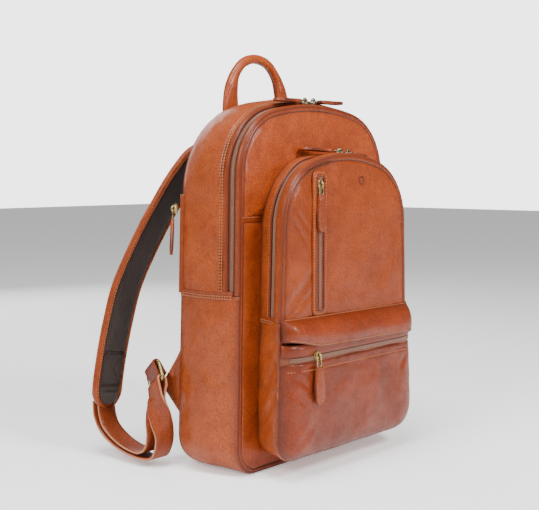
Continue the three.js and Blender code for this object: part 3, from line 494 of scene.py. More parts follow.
def make_object(name, points, faces, material, body, smooth=True, seam=None):
    """A mesh piece from points in millimetres, riding on a body of the frame."""
    mesh = bpy.data.meshes.new(name)
    mesh.from_pydata([tuple(p) for p in np.asarray(points, float) * MM], [],
        [list(map(int, f)) for f in faces])
    mesh.validate()
    if seam is not None:
        layer = mesh.attributes.new("seam", "FLOAT", "POINT")
        layer.data.foreach_set("value", np.asarray(seam, np.float32))
    made = bpy.data.objects.new(name, mesh)
    scene.collection.objects.link(made)
    mesh.materials.append(material)
    for face in mesh.polygons:
        face.use_smooth = smooth
    if body:
        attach(made, body)
    return made


def grid_faces(rows, columns, closed=False):
    faces = []
    across = columns if closed else columns - 1
    for r in range(rows - 1):
        for c in range(across):
            d = (c + 1) % columns
            faces.append((r * columns + c, r * columns + d, (r + 1) * columns + d, (r + 1) * columns + c))
    return faces


def end_caps(rows, count):
    """Faces that close both ends of a tube of rings."""
    last = (rows - 1) * count
    return [tuple(reversed(range(count))), tuple(last + k for k in range(count))]


def turned(faces):
    return [tuple(reversed(f)) for f in faces]


def face_outwards(points, faces, centre):
    """Turns every face over if most of them look towards centre."""
    corners = np.array([[points[i] for i in f[:3]] for f in faces])
    normals = np.cross(corners[:, 1] - corners[:, 0], corners[:, 2] - corners[:, 0])
    away = np.einsum("ij,ij->i", normals, corners.mean(1) - np.array(centre))
    return faces if away.sum() > 0 else turned(faces)


def give_thickness(made, thickness=HIDE):
    """Adds leather behind the face that shows, inwards."""
    solid = made.modifiers.new("hide", "SOLIDIFY")
    solid.thickness = thickness * MM
    solid.offset = -1
    solid.use_even_offset = False
    return made


def sheet(name, rows, centre, material, thickness, seam=None, closed=False):
    """A thin sheet of the body from a grid of points, facing away from centre. seam may be one number."""
    flat = np.array(rows).reshape(-1, 3)
    faces = face_outwards(flat, grid_faces(len(rows), len(rows[0]), closed), centre)
    if np.isscalar(seam):
        seam = [seam] * len(flat)
    made = make_object(name, flat, faces, material, "shell", seam=seam)
    return give_thickness(made, thickness)


def ripple(point, size, depth, seed=0.0):
    """A soft random height at a point, for slack in the hide."""
    scaled = Vector(point) / size + Vector((seed, seed * 0.7, -seed))
    return depth * noise.noise(scaled)


def crease_height(point, creases):
    """Height from a list of creases: (start, end, width, depth). A crease has a lip on each side."""
    total = 0.0
    p = np.asarray(point)
    for start, end, width, depth in creases:
        a = np.array(start, float)
        b = np.array(end, float)
        ab = b - a
        t = min(max(np.dot(p - a, ab) / np.dot(ab, ab), 0.0), 1.0)
        gap = np.linalg.norm(p - a - t * ab) / width
        if gap < 4:
            fade = math.sin(math.pi * min(max(t, 0.06), 0.94)) ** 0.5
            total += depth * fade * (0.45 * math.exp(-((gap - 1.7) ** 2)) - math.exp(-(gap**2)))
    return total


def swept_panel(name, arch_at, path_of, profile, material, body, slack=0.5, creases=(), seam_at=(),
        hide=HIDE):
    """A strip of leather that follows an arch. profile lists (y, inset) from its front edge to its
    back edge, and seam_at lists the y of the seams, where the colour turns darker: partly the hide's
    darker edges, partly painted shade in the seam grooves."""
    rows = []
    seams = []
    for y, inset in profile:
        path, outs = path_of(arch_at(y))
        near = min((abs(y - s) for s in seam_at), default=99)
        row = []
        for (x, z), (nx, nz) in zip(path, outs):
            raw = (x, y, z)
            calm = min(near / 6, 1.0)
            lift = -inset + calm * (ripple(raw, 34, slack * 1.5, 3.1) + ripple(raw, 13, slack * 0.7, 8.4))
            if creases:
                lift += crease_height(raw, creases)
            row.append((x + lift * nx, y, z + lift * nz))
            # Darker near the seams: partly the hide's own edge colour, partly painted shade in the grooves.
            seams.append(math.exp(-near / 3.8))
        rows.append(row)
    points = np.array(rows).reshape(-1, 3)
    faces = face_outwards(points, grid_faces(len(rows), len(rows[0])), (0, float(np.mean(points[:, 1])), 190))
    made = make_object(name, points, faces, material, body, seam=seams)
    return give_thickness(made, hide)


def curve_point(a, b, c, d, t):
    """The Catmull-Rom curve from b to c, at the share t."""
    return 0.5 * (2 * b + (c - a) * t + (2 * a - 5 * b + 4 * c - d) * t**2 + (3 * b - a - 3 * c + d) * t**3)


def smooth_profile(stops, steps=4):
    """A Catmull-Rom curve through (y, inset) stops."""
    stops = np.array([stops[0], *stops, stops[-1]], float)
    made = []
    for i in range(1, len(stops) - 2):
        for t in np.linspace(0, 1, steps, endpoint=False):
            made.append(curve_point(*stops[i - 1 : i + 3], t))
    made.append(stops[-2])
    return [tuple(p) for p in made]


# %% [markdown]
# ## Stitches
#
# A machine stitch is a short, tight bar of thread that dives into the hide at both ends. Each one here is
# a small spindle, laid along the seam and slightly sunk. All stitches of one row are one mesh, so a seam
# of two hundred stitches stays a single piece.

# %% Stitch rows
def walk(points, pitch, start=0.0):
    """Places every pitch millimetres along a line of points: positions and directions."""
    points = np.asarray(points, float)
    steps = np.linalg.norm(np.diff(points, axis=0), axis=1)
    along = np.concatenate([[0], np.cumsum(steps)])
    marks = np.arange(start + pitch / 2, along[-1] - pitch / 4, pitch)
    places = np.stack([np.interp(marks, along, points[:, k]) for k in range(3)], 1)
    ahead = np.stack([np.interp(marks + 0.5, along, points[:, k]) for k in range(3)], 1) - places
    behind = places - np.stack([np.interp(marks - 0.5, along, points[:, k]) for k in range(3)], 1)
    heading = ahead + behind
    heading /= np.linalg.norm(heading, axis=1)[:, None]
    return places, heading, np.clip(marks / along[-1], 0, 1)


def nearest_out(line, outs, shares):
    index = np.clip((shares * (len(line) - 1)).astype(int), 0, len(line) - 1)
    return np.asarray(outs, float)[index]


def stitch_mesh(places, heading, outs, length, thick, sink=0.15, slant=0.0):
    """Spindles of six sides: two thick rings, and a thin one at each end."""
    rings = ((-0.5, 0.25), (-0.3, 0.9), (0.3, 0.9), (0.5, 0.25))
    sides = 6
    points = []
    faces = []
    for place, ahead, out in zip(places, heading, outs):
        across = np.cross(out, ahead)
        across /= np.linalg.norm(across)
        ahead = ahead + slant * across
        ahead /= np.linalg.norm(ahead)
        across = np.cross(out, ahead)
        base = len(points)
        for at, fat in rings:
            dip = -sink if abs(at) < 0.4 else -sink - thick * 0.55
            for k in range(sides):
                angle = 2 * math.pi * k / sides
                off = across * math.cos(angle) * thick * fat + out * math.sin(angle) * thick * fat
                points.append(place + ahead * at * length + out * dip + off)
        for low in (base + r * sides for r in range(len(rings) - 1)):
            for k in range(sides):
                n = (k + 1) % sides
                faces.append((low + k, low + n, low + sides + n, low + sides + k))
        faces.append(tuple(base + k for k in reversed(range(sides))))
        faces.append(tuple(base + (len(rings) - 1) * sides + k for k in range(sides)))
    return points, faces


def facing(line, out):
    """A seam line whose points all face the same way."""
    return line, np.tile(out, (len(line), 1))


def stitch_row(name, lines, body, material=None, pitch=3.4, length=2.5, thick=0.62, slant=0.12, sink=0.1):
    """lines is a list of (points, outs): each one is a seam with its outward directions. Between two
    stitches sits a small near-black spindle: painted shade for the dimple that the needle left."""
    points = []
    faces = []
    kinds = []
    for line, outs in lines:
        # Kind 0 is the thread. Kind 1 is a dark blob between stitches, painted shade for the needle's dimple.
        for kind in (0, 1):
            places, heading, shares = walk(line, pitch, start=0.0 if kind == 0 else pitch / 2)
            ups = nearest_out(line, outs, shares)
            if kind == 0:
                more, sides = stitch_mesh(places, heading, ups, length, thick, sink, slant)
            else:
                more, sides = stitch_mesh(places, heading, ups, 1.5, thick * 1.05, sink + thick * 0.5)
            faces.extend(tuple(i + len(points) for i in f) for f in sides)
            kinds.extend([kind] * len(sides))
            points.extend(more)
    made = make_object(name, points, faces, material or pale_thread, body)
    made.data.materials.append(stitch_hole_shade)
    made.data.polygons.foreach_set("material_index", kinds)
    return made


def line_on(arch_at, path_of, y, lift):
    """A seam line at depth y, lifted off the outline, and its outward directions."""
    path, outs = path_of(arch_at(y))
    points = np.stack([path[:, 0] + lift * outs[:, 0], np.full(len(path), y),
        path[:, 1] + lift * outs[:, 1]], 1)
    return points, np.stack([outs[:, 0], np.zeros(len(outs)), outs[:, 1]], 1)


# %% [markdown]
# ## Zips
#
# The chain is two rows of coils that lock into each other on a strip of tape. Each turn of a coil is laid
# out as a rounded bar about two and a half millimetres long, one row shifted half a pitch from the other.

# %% Zip chains
def zip_chain(name, line, outs, body, width=4.6, pitch=1.5, slot="zip_tape", lift=0.0):
    """Two rows of teeth along a line, with the line's outward directions."""
    points = []
    faces = []
    for row in (-1, 1):
        places, heading, shares = walk(line, pitch, start=0.0 if row < 0 else pitch / 2)
        ups = nearest_out(line, outs, shares)
        sides = np.cross(ups, heading)
        sides /= np.linalg.norm(sides, axis=1)[:, None]
        middle = places + sides * (row * width * 0.24) + ups * lift
        more, made = stitch_mesh(middle, sides, ups, width * 0.56, 0.62, sink=0.0)
        faces.extend(tuple(i + len(points) for i in f) for f in made)
        points.extend(more)
    return make_object(name, points, faces, zip_teeth, body)


# %% [markdown]
# ## The sides of the body
#
# One long gusset of hide wraps the body from the front seam to the back seam. Behind the zip its edge is
# folded and sewn down with two rows of stitches; in front of the zip a padded roll of leather meets
# the front panel in a deep seam. Each strip is a cross section swept along the arch, so the folds keep
# their shape round the corners.

# %% Body gusset
SPLIT = 195.0
ZIP_Y = -31.5


def above(arch):
    return over_crown(arch, SPLIT + 0.2)


def below(arch):
    return under_base(arch, SPLIT - 0.2)


FOLD_CREASES = [
    ((-139, 12, 236), (-142, 26, 204), 3.0, 0.8),
    ((-138, -8, 230), (-141, 10, 214), 2.4, 0.6),
    ((-120, -6, 362), (-98, 18, 385), 4.0, 0.7),
    ((139, 0, 240), (142, 20, 210), 3.0, 0.8),
]
LOW_CREASES = [
    ((-142, -10, 180), (-145, 14, 150), 3.0, 0.7),
    ((-146, -20, 60), (-142, 4, 34), 4.0, 0.9),
    ((-146, 8, 92), (-148, 24, 60), 3.5, 0.6),
    ((144, -10, 170), (146, 12, 140), 3.0, 0.7),
]

gusset_profile = smooth_profile([(-26.2, 3.0), (-27.4, 1.6), (-27.6, 0.2), (-26.4, -0.9), (-24, -0.9),
    (-21.9, -0.25),
    (-20.4, 0.0), (-18.8, -0.35), (-17.6, -0.1), (-16, -0.6), (-8, -0.8), (2, -0.8), (12, -0.8), (22, -0.8),
    (30, -0.7),
    (35, -0.5), (38.5, 0.1), (40.4, 1.3), (41.4, 3.0)], 3)
gusset = swept_panel("gusset_leather", body_arch, above, gusset_profile, side_leather, "shell",
    slack=0.9, creases=FOLD_CREASES, seam_at=(-27, 41))
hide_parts("gusset_rear")

welt_profile = smooth_profile([(-40.2, 4.2), (-41.3, 2.4), (-41.6, 0.6), (-40.7, -0.9), (-38.6, -1.6),
    (-36.6, -1.2),
    (-35.4, -0.1), (-35.1, 1.4), (-35.4, 3.0)], 4)
welt = swept_panel("front_welt", body_arch, above, welt_profile, side_leather, "shell",
    slack=0.35, seam_at=(-41.5, -35.2), hide=1.2)
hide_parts("gusset_front_strip")

base_profile = smooth_profile([(-40.0, 4.2), (-41.3, 2.4), (-41.7, 0.6), (-40.9, -0.9), (-38.6, -1.5),
    (-35, -1.3),
    (-29, -1.0), (-20, -0.8), (-8, -0.8), (4, -0.8), (16, -0.8), (28, -0.7), (35, -0.5), (38.5, 0.1),
    (40.4, 1.3),
    (41.4, 3.0)], 3)

base = swept_panel("base_leather", body_arch, below, base_profile, side_leather, "shell",
    slack=1.0, creases=LOW_CREASES, seam_at=(-41.5, 41))
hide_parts("base_gusset")

# The underside stays flat where the bag stands.
for vertex in base.data.vertices:
    vertex.co.z = max(vertex.co.z, 0.0002 + 0.25 * min(0.0, vertex.co.z))
print("gusset rows:", len(gusset_profile), "points:", len(gusset.data.vertices))

# %% [markdown]
# The seam across each side, where the upper gusset is lapped over the lower one, is a raised ridge with
# two rows of stitches. It is a narrow sweep of its own that lies across the joint.

# %% Cross seams on the sides
def cross_seam(name, arch_at, z, y_from, y_to, side, ridge=1.6, height=1.0):
    """A lapped ridge across a gusset at height z, from y_from to y_to."""
    shape = ((-ridge * 1.7, -0.4), (-ridge, height * 0.75), (-ridge * 0.2, height),
        (ridge * 0.5, height * 0.45),
        (ridge * 0.9, 0.55), (ridge * 2.4, 0.5), (ridge * 4.0, 0.35), (ridge * 4.4, -0.5))
    rows = []
    for y in np.linspace(y_from, y_to, 26):
        arch = arch_at(y)
        rows.append([(side * (side_at(arch, z - dz) + 0.8 + lift), y, z - dz) for dz, lift in shape])
    sheet(name, rows, (0, (y_from + y_to) / 2, z), side_leather, 1.0, 0.5)
    lines = []
    for down in (ridge * 1.5, ridge * 3.2):
        line = []
        for y in np.linspace(y_from + 1, y_to - 1, 30):
            line.append((side * (side_at(arch_at(y), z - down) + 0.8 + 0.62), y, z - down))
        lines.append(facing(np.array(line), (side, 0, 0)))
    stitch_row(name + "_stitches", lines, "shell", pitch=3.2, length=2.5)


for label, side in BOTH_SIDES:
    cross_seam(f"gusset_seam_{label}", body_arch, SPLIT + 2, -34.5, 40, side)

# %% [markdown]
# ## The main zip
#
# Its tape is sewn under the folded edges and shows as a narrow brown ribbon on each side of the teeth.

# %% Main zip
tape_profile = [(-37.6, 3.2), (-36, 2.7), (-33.9, 2.5), (-33.5, 1.9), (-29.5, 1.9), (-29.1, 2.5),
    (-26.5, 2.7), (-24, 3.2)]
tape = swept_panel("main_tape", body_arch, above, tape_profile, zip_tape, "shell", slack=0.0,
    hide=0.6)
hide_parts("main_zip")
line, outs = line_on(body_arch, above, ZIP_Y, -1.5)
zip_chain("main_teeth", line, outs, "shell")

rows = [line_on(body_arch, above, y, 0.55) for y in (-18.2, -21.1)]
stitch_row("gusset_zip_stitches", rows, "shell", pitch=3.3)

# %% [markdown]
# ## Flat panels that are not flat
#
# A front panel is cut flat, but the seam pulls its edge back and the filling pushes its middle out. So
# each panel is a set of rings: the first few rings roll over the seam edge, and the rest close in on a
# middle point while the height follows a low dome. Rings keep the rolled edge equally wide all round.

# %% Ringed panels
def ringed_panel(name, outline, outs, y, towards, roll, dome, material, body, slack=0.6, creases=(),
                 rings=34, centre=None, shape=None, hide=HIDE, groove=None):
    """outline and outs are (x, z) points and outward directions of a closed edge. roll lists
    (inset, height) from the seam inwards, and dome is how far the middle stands out beyond the roll."""
    outline = np.asarray(outline, float)
    outs = np.asarray(outs, float)
    middle = np.array(centre if centre is not None else outline.mean(0))
    rays = outline - middle
    reach = np.linalg.norm(rays, axis=1)
    rays /= reach[:, None]
    slope = np.clip(np.einsum("ij,ij->i", rays, outs), 0.35, 1)
    points = []
    seams = []
    last_inset, last_height = roll[-1]
    levels = [(inset, height, 0.0) for inset, height in roll]
    levels += [(last_inset, last_height, t) for t in np.linspace(0, 1, rings)[1:-1]]
    for inset, height, t in levels:
        edge = outline - rays * (inset / slope)[:, None]
        flat = edge + (middle - edge) * t
        for k, (x, z) in enumerate(flat):
            away = np.linalg.norm(outline[k] - flat[k]) * slope[k]
            calm = min(away / 9, 1.0)
            lift = height + dome * (1 - (1 - t) ** 2.2)
            raw = (x, y, z)
            lift += calm * (ripple(raw, 42, slack, 1.7) + ripple(raw, 15, slack * 0.3, 5.5))
            if creases:
                lift += crease_height(raw, creases)
            if shape:
                lift += shape(x, z)
            points.append((x, y + towards * lift, z))
            # Darker near the sewn edge (partly the hide's edge colour, partly painted shade where the roll
            # curls into the seam), and along the stitched groove as painted shade.
            pressed = math.exp(-(((away - groove) / 1.1) ** 2)) if groove else 0
            seams.append(max(math.exp(-away / 4.5), pressed))
    count = len(outline)
    faces = grid_faces(len(levels), count, closed=True)
    points.append((middle[0], y + towards * (last_height + dome + (shape(*middle) if shape else 0)),
        middle[1]))
    seams.append(0)
    last = (len(levels) - 1) * count
    faces += [(last + k, last + (k + 1) % count, len(points) - 1) for k in range(count)]
    inside = (middle[0], y - towards * 60, middle[1])
    made = make_object(name, points, face_outwards(points, faces, inside), material, body, seam=seams)
    return give_thickness(made, hide)


def closed_along(path, outs, height, out):
    """Closes an open outline with a level row of points."""
    count = 60
    xs = np.linspace(path[-1][0], path[0][0], count + 2)[1:-1]
    path = np.vstack([path, np.stack([xs, np.full(count, height)], 1)])
    return path, np.vstack([outs, np.tile(out, (count, 1))])


def closed_above(arch, low):
    """Outline of the part of an arch above a height."""
    return closed_along(*over_crown(arch, low), low, (0.0, -1.0))


def closed_below(arch, high):
    """Outline of the part of an arch below a height."""
    return closed_along(*under_base(arch, high), high, (0.0, 1.0))


ROLLED_EDGE = [(2.6, -3.2), (1.5, -2.2), (0.9, -1.0), (1.1, 0.0), (1.9, 0.8), (3.0, 1.1), (4.1, 0.9),
    (5.0, -0.1), (5.9, 0.7),
    (7.5, 1.2), (11, 1.4)]
ROLL_GROOVE = 5.0


def edge_stitches(name, outline, outs, y, towards, inset, height, keep, material=None):
    """Stitches that follow a panel's edge at a distance, where keep says so."""
    line = []
    for (x, z), (out_x, out_z) in zip(outline, outs):
        if keep(x, z):
            line.append((x - out_x * inset, y + towards * height, z - out_z * inset))
    stitch_row(name, [facing(np.array(line), (0, towards, 0))], "shell", material, pitch=3.3)


# %% [markdown]
# ## The front of the body
#
# Only its upper edge and a strip at the left show round the pocket. The lower panel is lapped under the
# upper one, with a stitched seam that runs into the pocket.

# %% Front panels
FRONT_SPLIT = 275.0
path, outs = closed_above(FRONT_ARCH, FRONT_SPLIT)
upper_front = ringed_panel("front_upper", path, outs, BODY_FRONT, -1, ROLLED_EDGE, 3.4, panel_leather,
    "shell",
    slack=1.5, centre=(0, 325), groove=ROLL_GROOVE)
edge_stitches("front_upper_stitches", path, outs, BODY_FRONT, -1, ROLL_GROOVE, 0.1, lambda x,
    z: z > FRONT_SPLIT + 4,
    dark_thread)
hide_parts("front_panel_upper")
path, outs = closed_below(FRONT_ARCH, FRONT_SPLIT + 3.2)
lower_front = ringed_panel("front_lower", path, outs, BODY_FRONT, -1, ROLLED_EDGE, 0.5, panel_leather,
    "shell",
    slack=1.2, centre=(0, 140), groove=ROLL_GROOVE)
edge_stitches("front_lower_stitches", path, outs, BODY_FRONT, -1, ROLL_GROOVE, 0.1, lambda x,
    z: z < FRONT_SPLIT - 2,
    dark_thread)
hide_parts("front_panel_lower")


def straight(start, end, out, count=20):
    return facing(np.linspace(start, end, count), out)


front = (0, -1, 0)
SEAM_Y = BODY_FRONT - 1.0
SEAM_Z = FRONT_SPLIT + 3.4
rows = [straight((x, SEAM_Y, SEAM_Z), (x + 27, SEAM_Y, SEAM_Z), front) for x in (-125, 98)]
stitch_row("front_seam_stitches", rows, "shell", pitch=3.2)
print("front panels:", len(upper_front.data.vertices) + len(lower_front.data.vertices), "points")

# %% [markdown]
# ## The front pocket's sides
#
# The pocket is a shallow box whose walls lean outwards. Its rear wall is sewn to the body with coarse dark
# thread. The zip lies between that wall and a padded roll that frames the pocket's face. Below the
# zip's ends one plain strip runs under the pocket, and there the hide has slack that falls in folds.

# %% Pocket walls
POCKET_SPLIT = 169.0
POCKET_ZIP_Y = -68.4


def pocket_above(arch):
    return over_crown(arch, POCKET_SPLIT + 0.2)


def pocket_below(arch):
    return under_base(arch, POCKET_SPLIT - 0.2)


rear_profile = smooth_profile([(-41.0, 2.6), (-41.9, 0.9), (-43.2, -0.3), (-44.8, 0.1), (-46.6, -0.5),
    (-50, -0.7),
    (-56, -0.7), (-59.6, -0.1), (-61.4, -0.6), (-63.4, -0.9), (-64.6, 0.0), (-64.6, 1.6), (-63.8, 3.0)], 3)
rear_wall = swept_panel("pocket_rear_wall", pocket_arch, pocket_above, rear_profile, side_leather, "shell",
    slack=0.5, seam_at=(-41.4, -64.4), hide=1.4)
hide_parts("pocket_gusset_rear")

roll_profile = smooth_profile([(-73.2, 3.0), (-72.4, 1.4), (-72.9, -0.3), (-75, -1.4), (-79, -1.9),
    (-82.8, -1.5),
    (-85.4, -0.5), (-86.6, 0.9), (-86.7, 2.4), (-85.4, 4.2)], 4)
face_roll = swept_panel("pocket_roll", pocket_arch, pocket_above, roll_profile, side_leather, "shell",
    slack=0.5, seam_at=(-72.6, -86.8), hide=1.4)
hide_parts("pocket_gusset_front")

POCKET_FOLDS = [
    ((-113, -84, 150), (-106, -48, 118), 4.0, 1.8),
    ((-114, -80, 122), (-108, -52, 84), 5.0, 2.2),
    ((-115, -84, 92), (-109, -58, 60), 4.5, 2.0),
    ((-116, -78, 66), (-104, -50, 38), 4.0, 1.6),
    ((-112, -66, 160), (-110, -50, 146), 3.0, 1.0),
    ((113, -80, 140), (106, -50, 108), 4.5, 1.8),
    ((114, -82, 96), (108, -54, 66), 4.5, 1.8),
    ((-60, -80, 19), (-40, -50, 19), 5.0, 1.2),
    ((50, -80, 19), (34, -50, 19), 5.0, 1.2),
]
strip_profile = smooth_profile([(-41.0, 2.6), (-41.9, 0.9), (-43.2, -0.3), (-44.8, 0.1), (-46.6, -0.6),
    (-50, -0.9),
    (-55, -1.1), (-60, -1.3), (-65, -1.4), (-70, -1.5), (-75, -1.6), (-79.5, -1.7), (-83, -1.4),
    (-85.6, -0.5),
    (-86.7, 0.9), (-86.7, 2.4), (-85.4, 4.2)], 3)
strip = swept_panel("pocket_under_strip", pocket_arch, pocket_below, strip_profile, side_leather, "shell",
    slack=1.6, creases=POCKET_FOLDS, seam_at=(-41.4, -86.8), hide=1.4)
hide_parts("pocket_gusset_lower")

tape_profile = [(-75, 3.2), (-73, 2.7), (-70.8, 2.4), (-70.4, 1.8), (-66.4, 1.8), (-66.0, 2.4), (-64, 2.7),
    (-61, 3.2)]
tape = swept_panel("pocket_tape", pocket_arch, pocket_above, tape_profile, zip_tape, "shell",
    slack=0.0, hide=0.6)
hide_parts("pocket_zip")
line, outs = line_on(pocket_arch, pocket_above, POCKET_ZIP_Y, -1.4)
zip_chain("pocket_teeth", line, outs, "shell")

rows = [line_on(pocket_arch, pocket_above, -60.3, 0.45)]
stitch_row("pocket_zip_stitches", rows, "shell", pitch=3.3)
rows = [line_on(pocket_arch, pocket_above, -44.7, 0.12), line_on(pocket_arch, pocket_below, -44.7, 0.12)]
stitch_row("pocket_root_stitches", rows, "shell", dark_thread, pitch=4.6, length=3.0, thick=0.7, slant=0.0)

for label, side in BOTH_SIDES:
    cross_seam(f"pocket_seam_{label}", pocket_arch, POCKET_SPLIT + 2, -84, -44, side, ridge=1.4, height=0.9)
print("pocket walls made")

# %% [markdown]
# ## The pocket's face and its stamp
#
# The face is one more ringed panel. A small plain stamp is pressed into it: a ring round a dot. It is
# a relief less than a millimetre deep, so it lives in the finish as a bump, measured from the stamp's
# own centre.

# %% Pocket face
STAMP_AT = (22, 317)


def add_stamp(material):
    """Presses a ring and a dot into a leather."""
    tree = material.node_tree
    shader = tree.nodes["Principled BSDF"]
    point = in_millimetres(tree)
    flat = add_node(tree, "ShaderNodeVectorMath", {"operation": "MULTIPLY"},
        {0: point, 1: (1, 0, 1)}).outputs[0]
    centre = (STAMP_AT[0], 0, STAMP_AT[1])
    reach = add_node(tree, "ShaderNodeVectorMath", {"operation": "DISTANCE"},
        {0: flat, 1: centre}).outputs["Value"]
    off_ring = add_node(tree, "ShaderNodeMath", {"operation": "SUBTRACT"}, {0: reach, 1: 4.4}).outputs[0]
    ring_gap = add_node(tree, "ShaderNodeMath", {"operation": "ABSOLUTE"}, {0: off_ring}).outputs[0]
    nearest = add_node(tree, "ShaderNodeMath", {"operation": "MINIMUM"}, {0: ring_gap, 1: reach}).outputs[0]
    press = span(tree, nearest, 0.6, 1.3, 0.0, 1.0)
    under = shader.inputs["Normal"].links[0].from_socket
    tree.links.new(bump(tree, press, 0.9, 0.7, under), shader.inputs["Normal"])
    colour = shader.inputs["Base Color"].links[0].from_socket
    # The pressed ring and dot are coloured darker.
    darker_press = mix_colour(tree, span(tree, press, 0, 1, 0.8, 0.0), colour, linear("4A1604"))
    tree.links.new(darker_press, shader.inputs["Base Color"])


face_leather = leather("pocket_face_leather", "AA460C", "923802", "561E00", polish=0.34, grain=0.45)
add_stamp(face_leather)

FACE_CREASES = [
    ((-98, -86, 292), (-66, -86, 262), 2.6, 0.6),
    ((-96, -86, 276), (-70, -86, 246), 2.4, 0.5),
    ((-92, -86, 306), (-68, -86, 286), 2.2, 0.4),
    ((-108, -86, 178), (-68, -86, 214), 6.0, 1.4),
    ((-104, -86, 176), (-66, -86, 196), 4.0, 0.9),
]
FACE_GROOVE = 6.2
FACE_ROLL = [(2.6, -3.2), (1.5, -2.2), (0.9, -1.0), (1.2, 0.0), (2.2, 1.0), (3.8, 1.4), (5.2, 1.0),
    (6.2, 0.0), (7.2, 0.9), (10, 1.7),
    (15, 2.0)]
SLOT_X = -52


def slot_press(x, z):
    """The face lies flat along the upright zip."""
    near = min(max(1.65 - abs(x - SLOT_X) / 20, 0.0), 1.0)
    return -1.9 * near * near * (3 - 2 * near)


path, outs = closed_above(FACE_ARCH, 136.5)
face = ringed_panel("pocket_face", path, outs, POCKET_FACE, -1, FACE_ROLL, 1.2, face_leather, "shell",
    slack=1.0, creases=FACE_CREASES, centre=(6, 240), rings=46, shape=slot_press, groove=FACE_GROOVE)
edge_stitches("pocket_face_stitches", path, outs, POCKET_FACE, -1, FACE_GROOVE, 0.2, lambda x, z: z > 176,
    dark_thread)
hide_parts("pocket_panel")

# %% [markdown]
# ## The upright zip
#
# A slot in the face has its edge turned under and sewn all round. Inside it two thin strips of leather
# flank the teeth, with a dark gap at each side. The slot is a frame swept round a long loop.

# %% Upright zip
SLOT_LOW = 177.0
SLOT_HIGH = 322.0
SLOT_HALF = 6.2
face_y = POCKET_FACE - 1.9


def loop_points(half_width, low, high, corner, count=9, low_corner=None):
    """A tall loop with round corners: points and outward directions in x and z."""
    points = []
    outs = []
    for sx, sz, start in ((1, 1, 0), (-1, 1, 90), (-1, -1, 180), (1, -1, 270)):
        radius = corner if sz > 0 else low_corner or corner
        cx = sx * (half_width - radius)
        cz = high - radius if sz > 0 else low + radius
        for angle in np.radians(np.linspace(start, start + 90, count)):
            points.append((cx + radius * math.cos(angle), cz + radius * math.sin(angle)))
            outs.append((math.cos(angle), math.sin(angle)))
    return np.array(points), np.array(outs)


def denser(points, outs, step=3.0):
    """The closed loop with points at most step apart."""
    new_points = []
    new_outs = []
    for k in range(len(points)):
        a, b = points[k], points[(k + 1) % len(points)]
        count = max(1, int(np.linalg.norm(b - a) / step))
        for i in range(count):
            new_points.append(a + (b - a) * i / count)
            out = outs[k] + (outs[(k + 1) % len(points)] - outs[k]) * i / count
            new_outs.append(out / np.linalg.norm(out))
    return np.array(new_points), np.array(new_outs)


points, outs = denser(*loop_points(SLOT_HALF, SLOT_LOW, SLOT_HIGH, 2.0))
frame_shape = ((6.6, -0.6), (6.0, 0.15), (4.6, 0.45), (3.6, 0.3), (2.4, 0.75), (1.0, 1.0), (0.0, 0.8),
    (-0.5, 0.1), (-0.4, -1.2))


def round_slot(gap, y):
    """The slot's loop, gap millimetres outside its edge."""
    return [(SLOT_X + p[0] + gap * o[0], y, p[1] + gap * o[1]) for p, o in zip(points, outs)]


behind_slot = (SLOT_X, face_y + 80, 250)
# The colour darkens towards the slot: partly the hide's darker edge, partly painted shade where the edge
# turns under.
sheet("slot_edge", [round_slot(gap, face_y - height) for gap, height in frame_shape], behind_slot,
    face_leather,
    0.8, [math.exp(-max(gap + 0.5, 0) / 1.5) for gap, _ in frame_shape for _ in points],
    closed=True)
line = np.array(round_slot(3.6, face_y - 0.42))
stitch_row("slot_stitches", [facing(np.vstack([line, line[:1]]), front)], "shell", pitch=3.3)

for label, side in BOTH_SIDES:
    x = SLOT_X + side * 3.75
    strip_rows = []
    for dx, h in ((-1.5, -0.8), (-1.3, 0.1), (0, 0.35), (1.3, 0.1), (1.5, -0.8)):
        strip_rows.append([(x + dx, face_y - h, z) for z in np.linspace(SLOT_LOW - 1, SLOT_HIGH + 1, 50)])
    sheet(f"slot_strip_{label}", strip_rows, (x, face_y + 80, 250), trim_leather, 0.5, 0.4)
line, line_outs = straight((SLOT_X, face_y - 0.4, SLOT_LOW), (SLOT_X, face_y - 0.4, SLOT_HIGH), front, 60)
zip_chain("upright_teeth", line, line_outs, "shell", width=4.2)
back_rows = [[(SLOT_X + dx, face_y + 0.3, z) for z in (SLOT_LOW - 2, SLOT_HIGH + 2)] for dx in (-6, 0, 6)]
upright_tape = sheet("upright_tape", back_rows, behind_slot, lining, 0.4)
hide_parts("upright_zip")
print("slot loop points:", len(points))

# %% [markdown]
# ## The padded band
#
# Above the pouch a band of redder leather is stuffed with foam and sewn along its top and bottom. It swells
# out like a lip and is pulled in at both ends, where its slack makes a round pleat. A padded piece like
# this could be inflated with a cloth simulation, but its section is the same from end to end, so a
# swept section gives a cleaner lip.

# %% Band
BAND_TOP = 173.2


def face_edge(z):
    """Half width of the pocket's face at height z."""
    return side_at(FACE_ARCH, z)


def puff(inset, full=15.0, reach=9.0):
    """How far the pouch stands out at a distance from its sewn edge."""
    return full * (1 - math.exp(-max(inset, 0) / reach))


def band_low(x):
    """Height of the band's lower edge: it climbs towards the left end."""
    climb = min(max((-58 - x) / 58, 0), 1)
    return 139.5 - 2.2 * (x + 60) / 170 + 9.5 * climb * climb * (3 - 2 * climb)


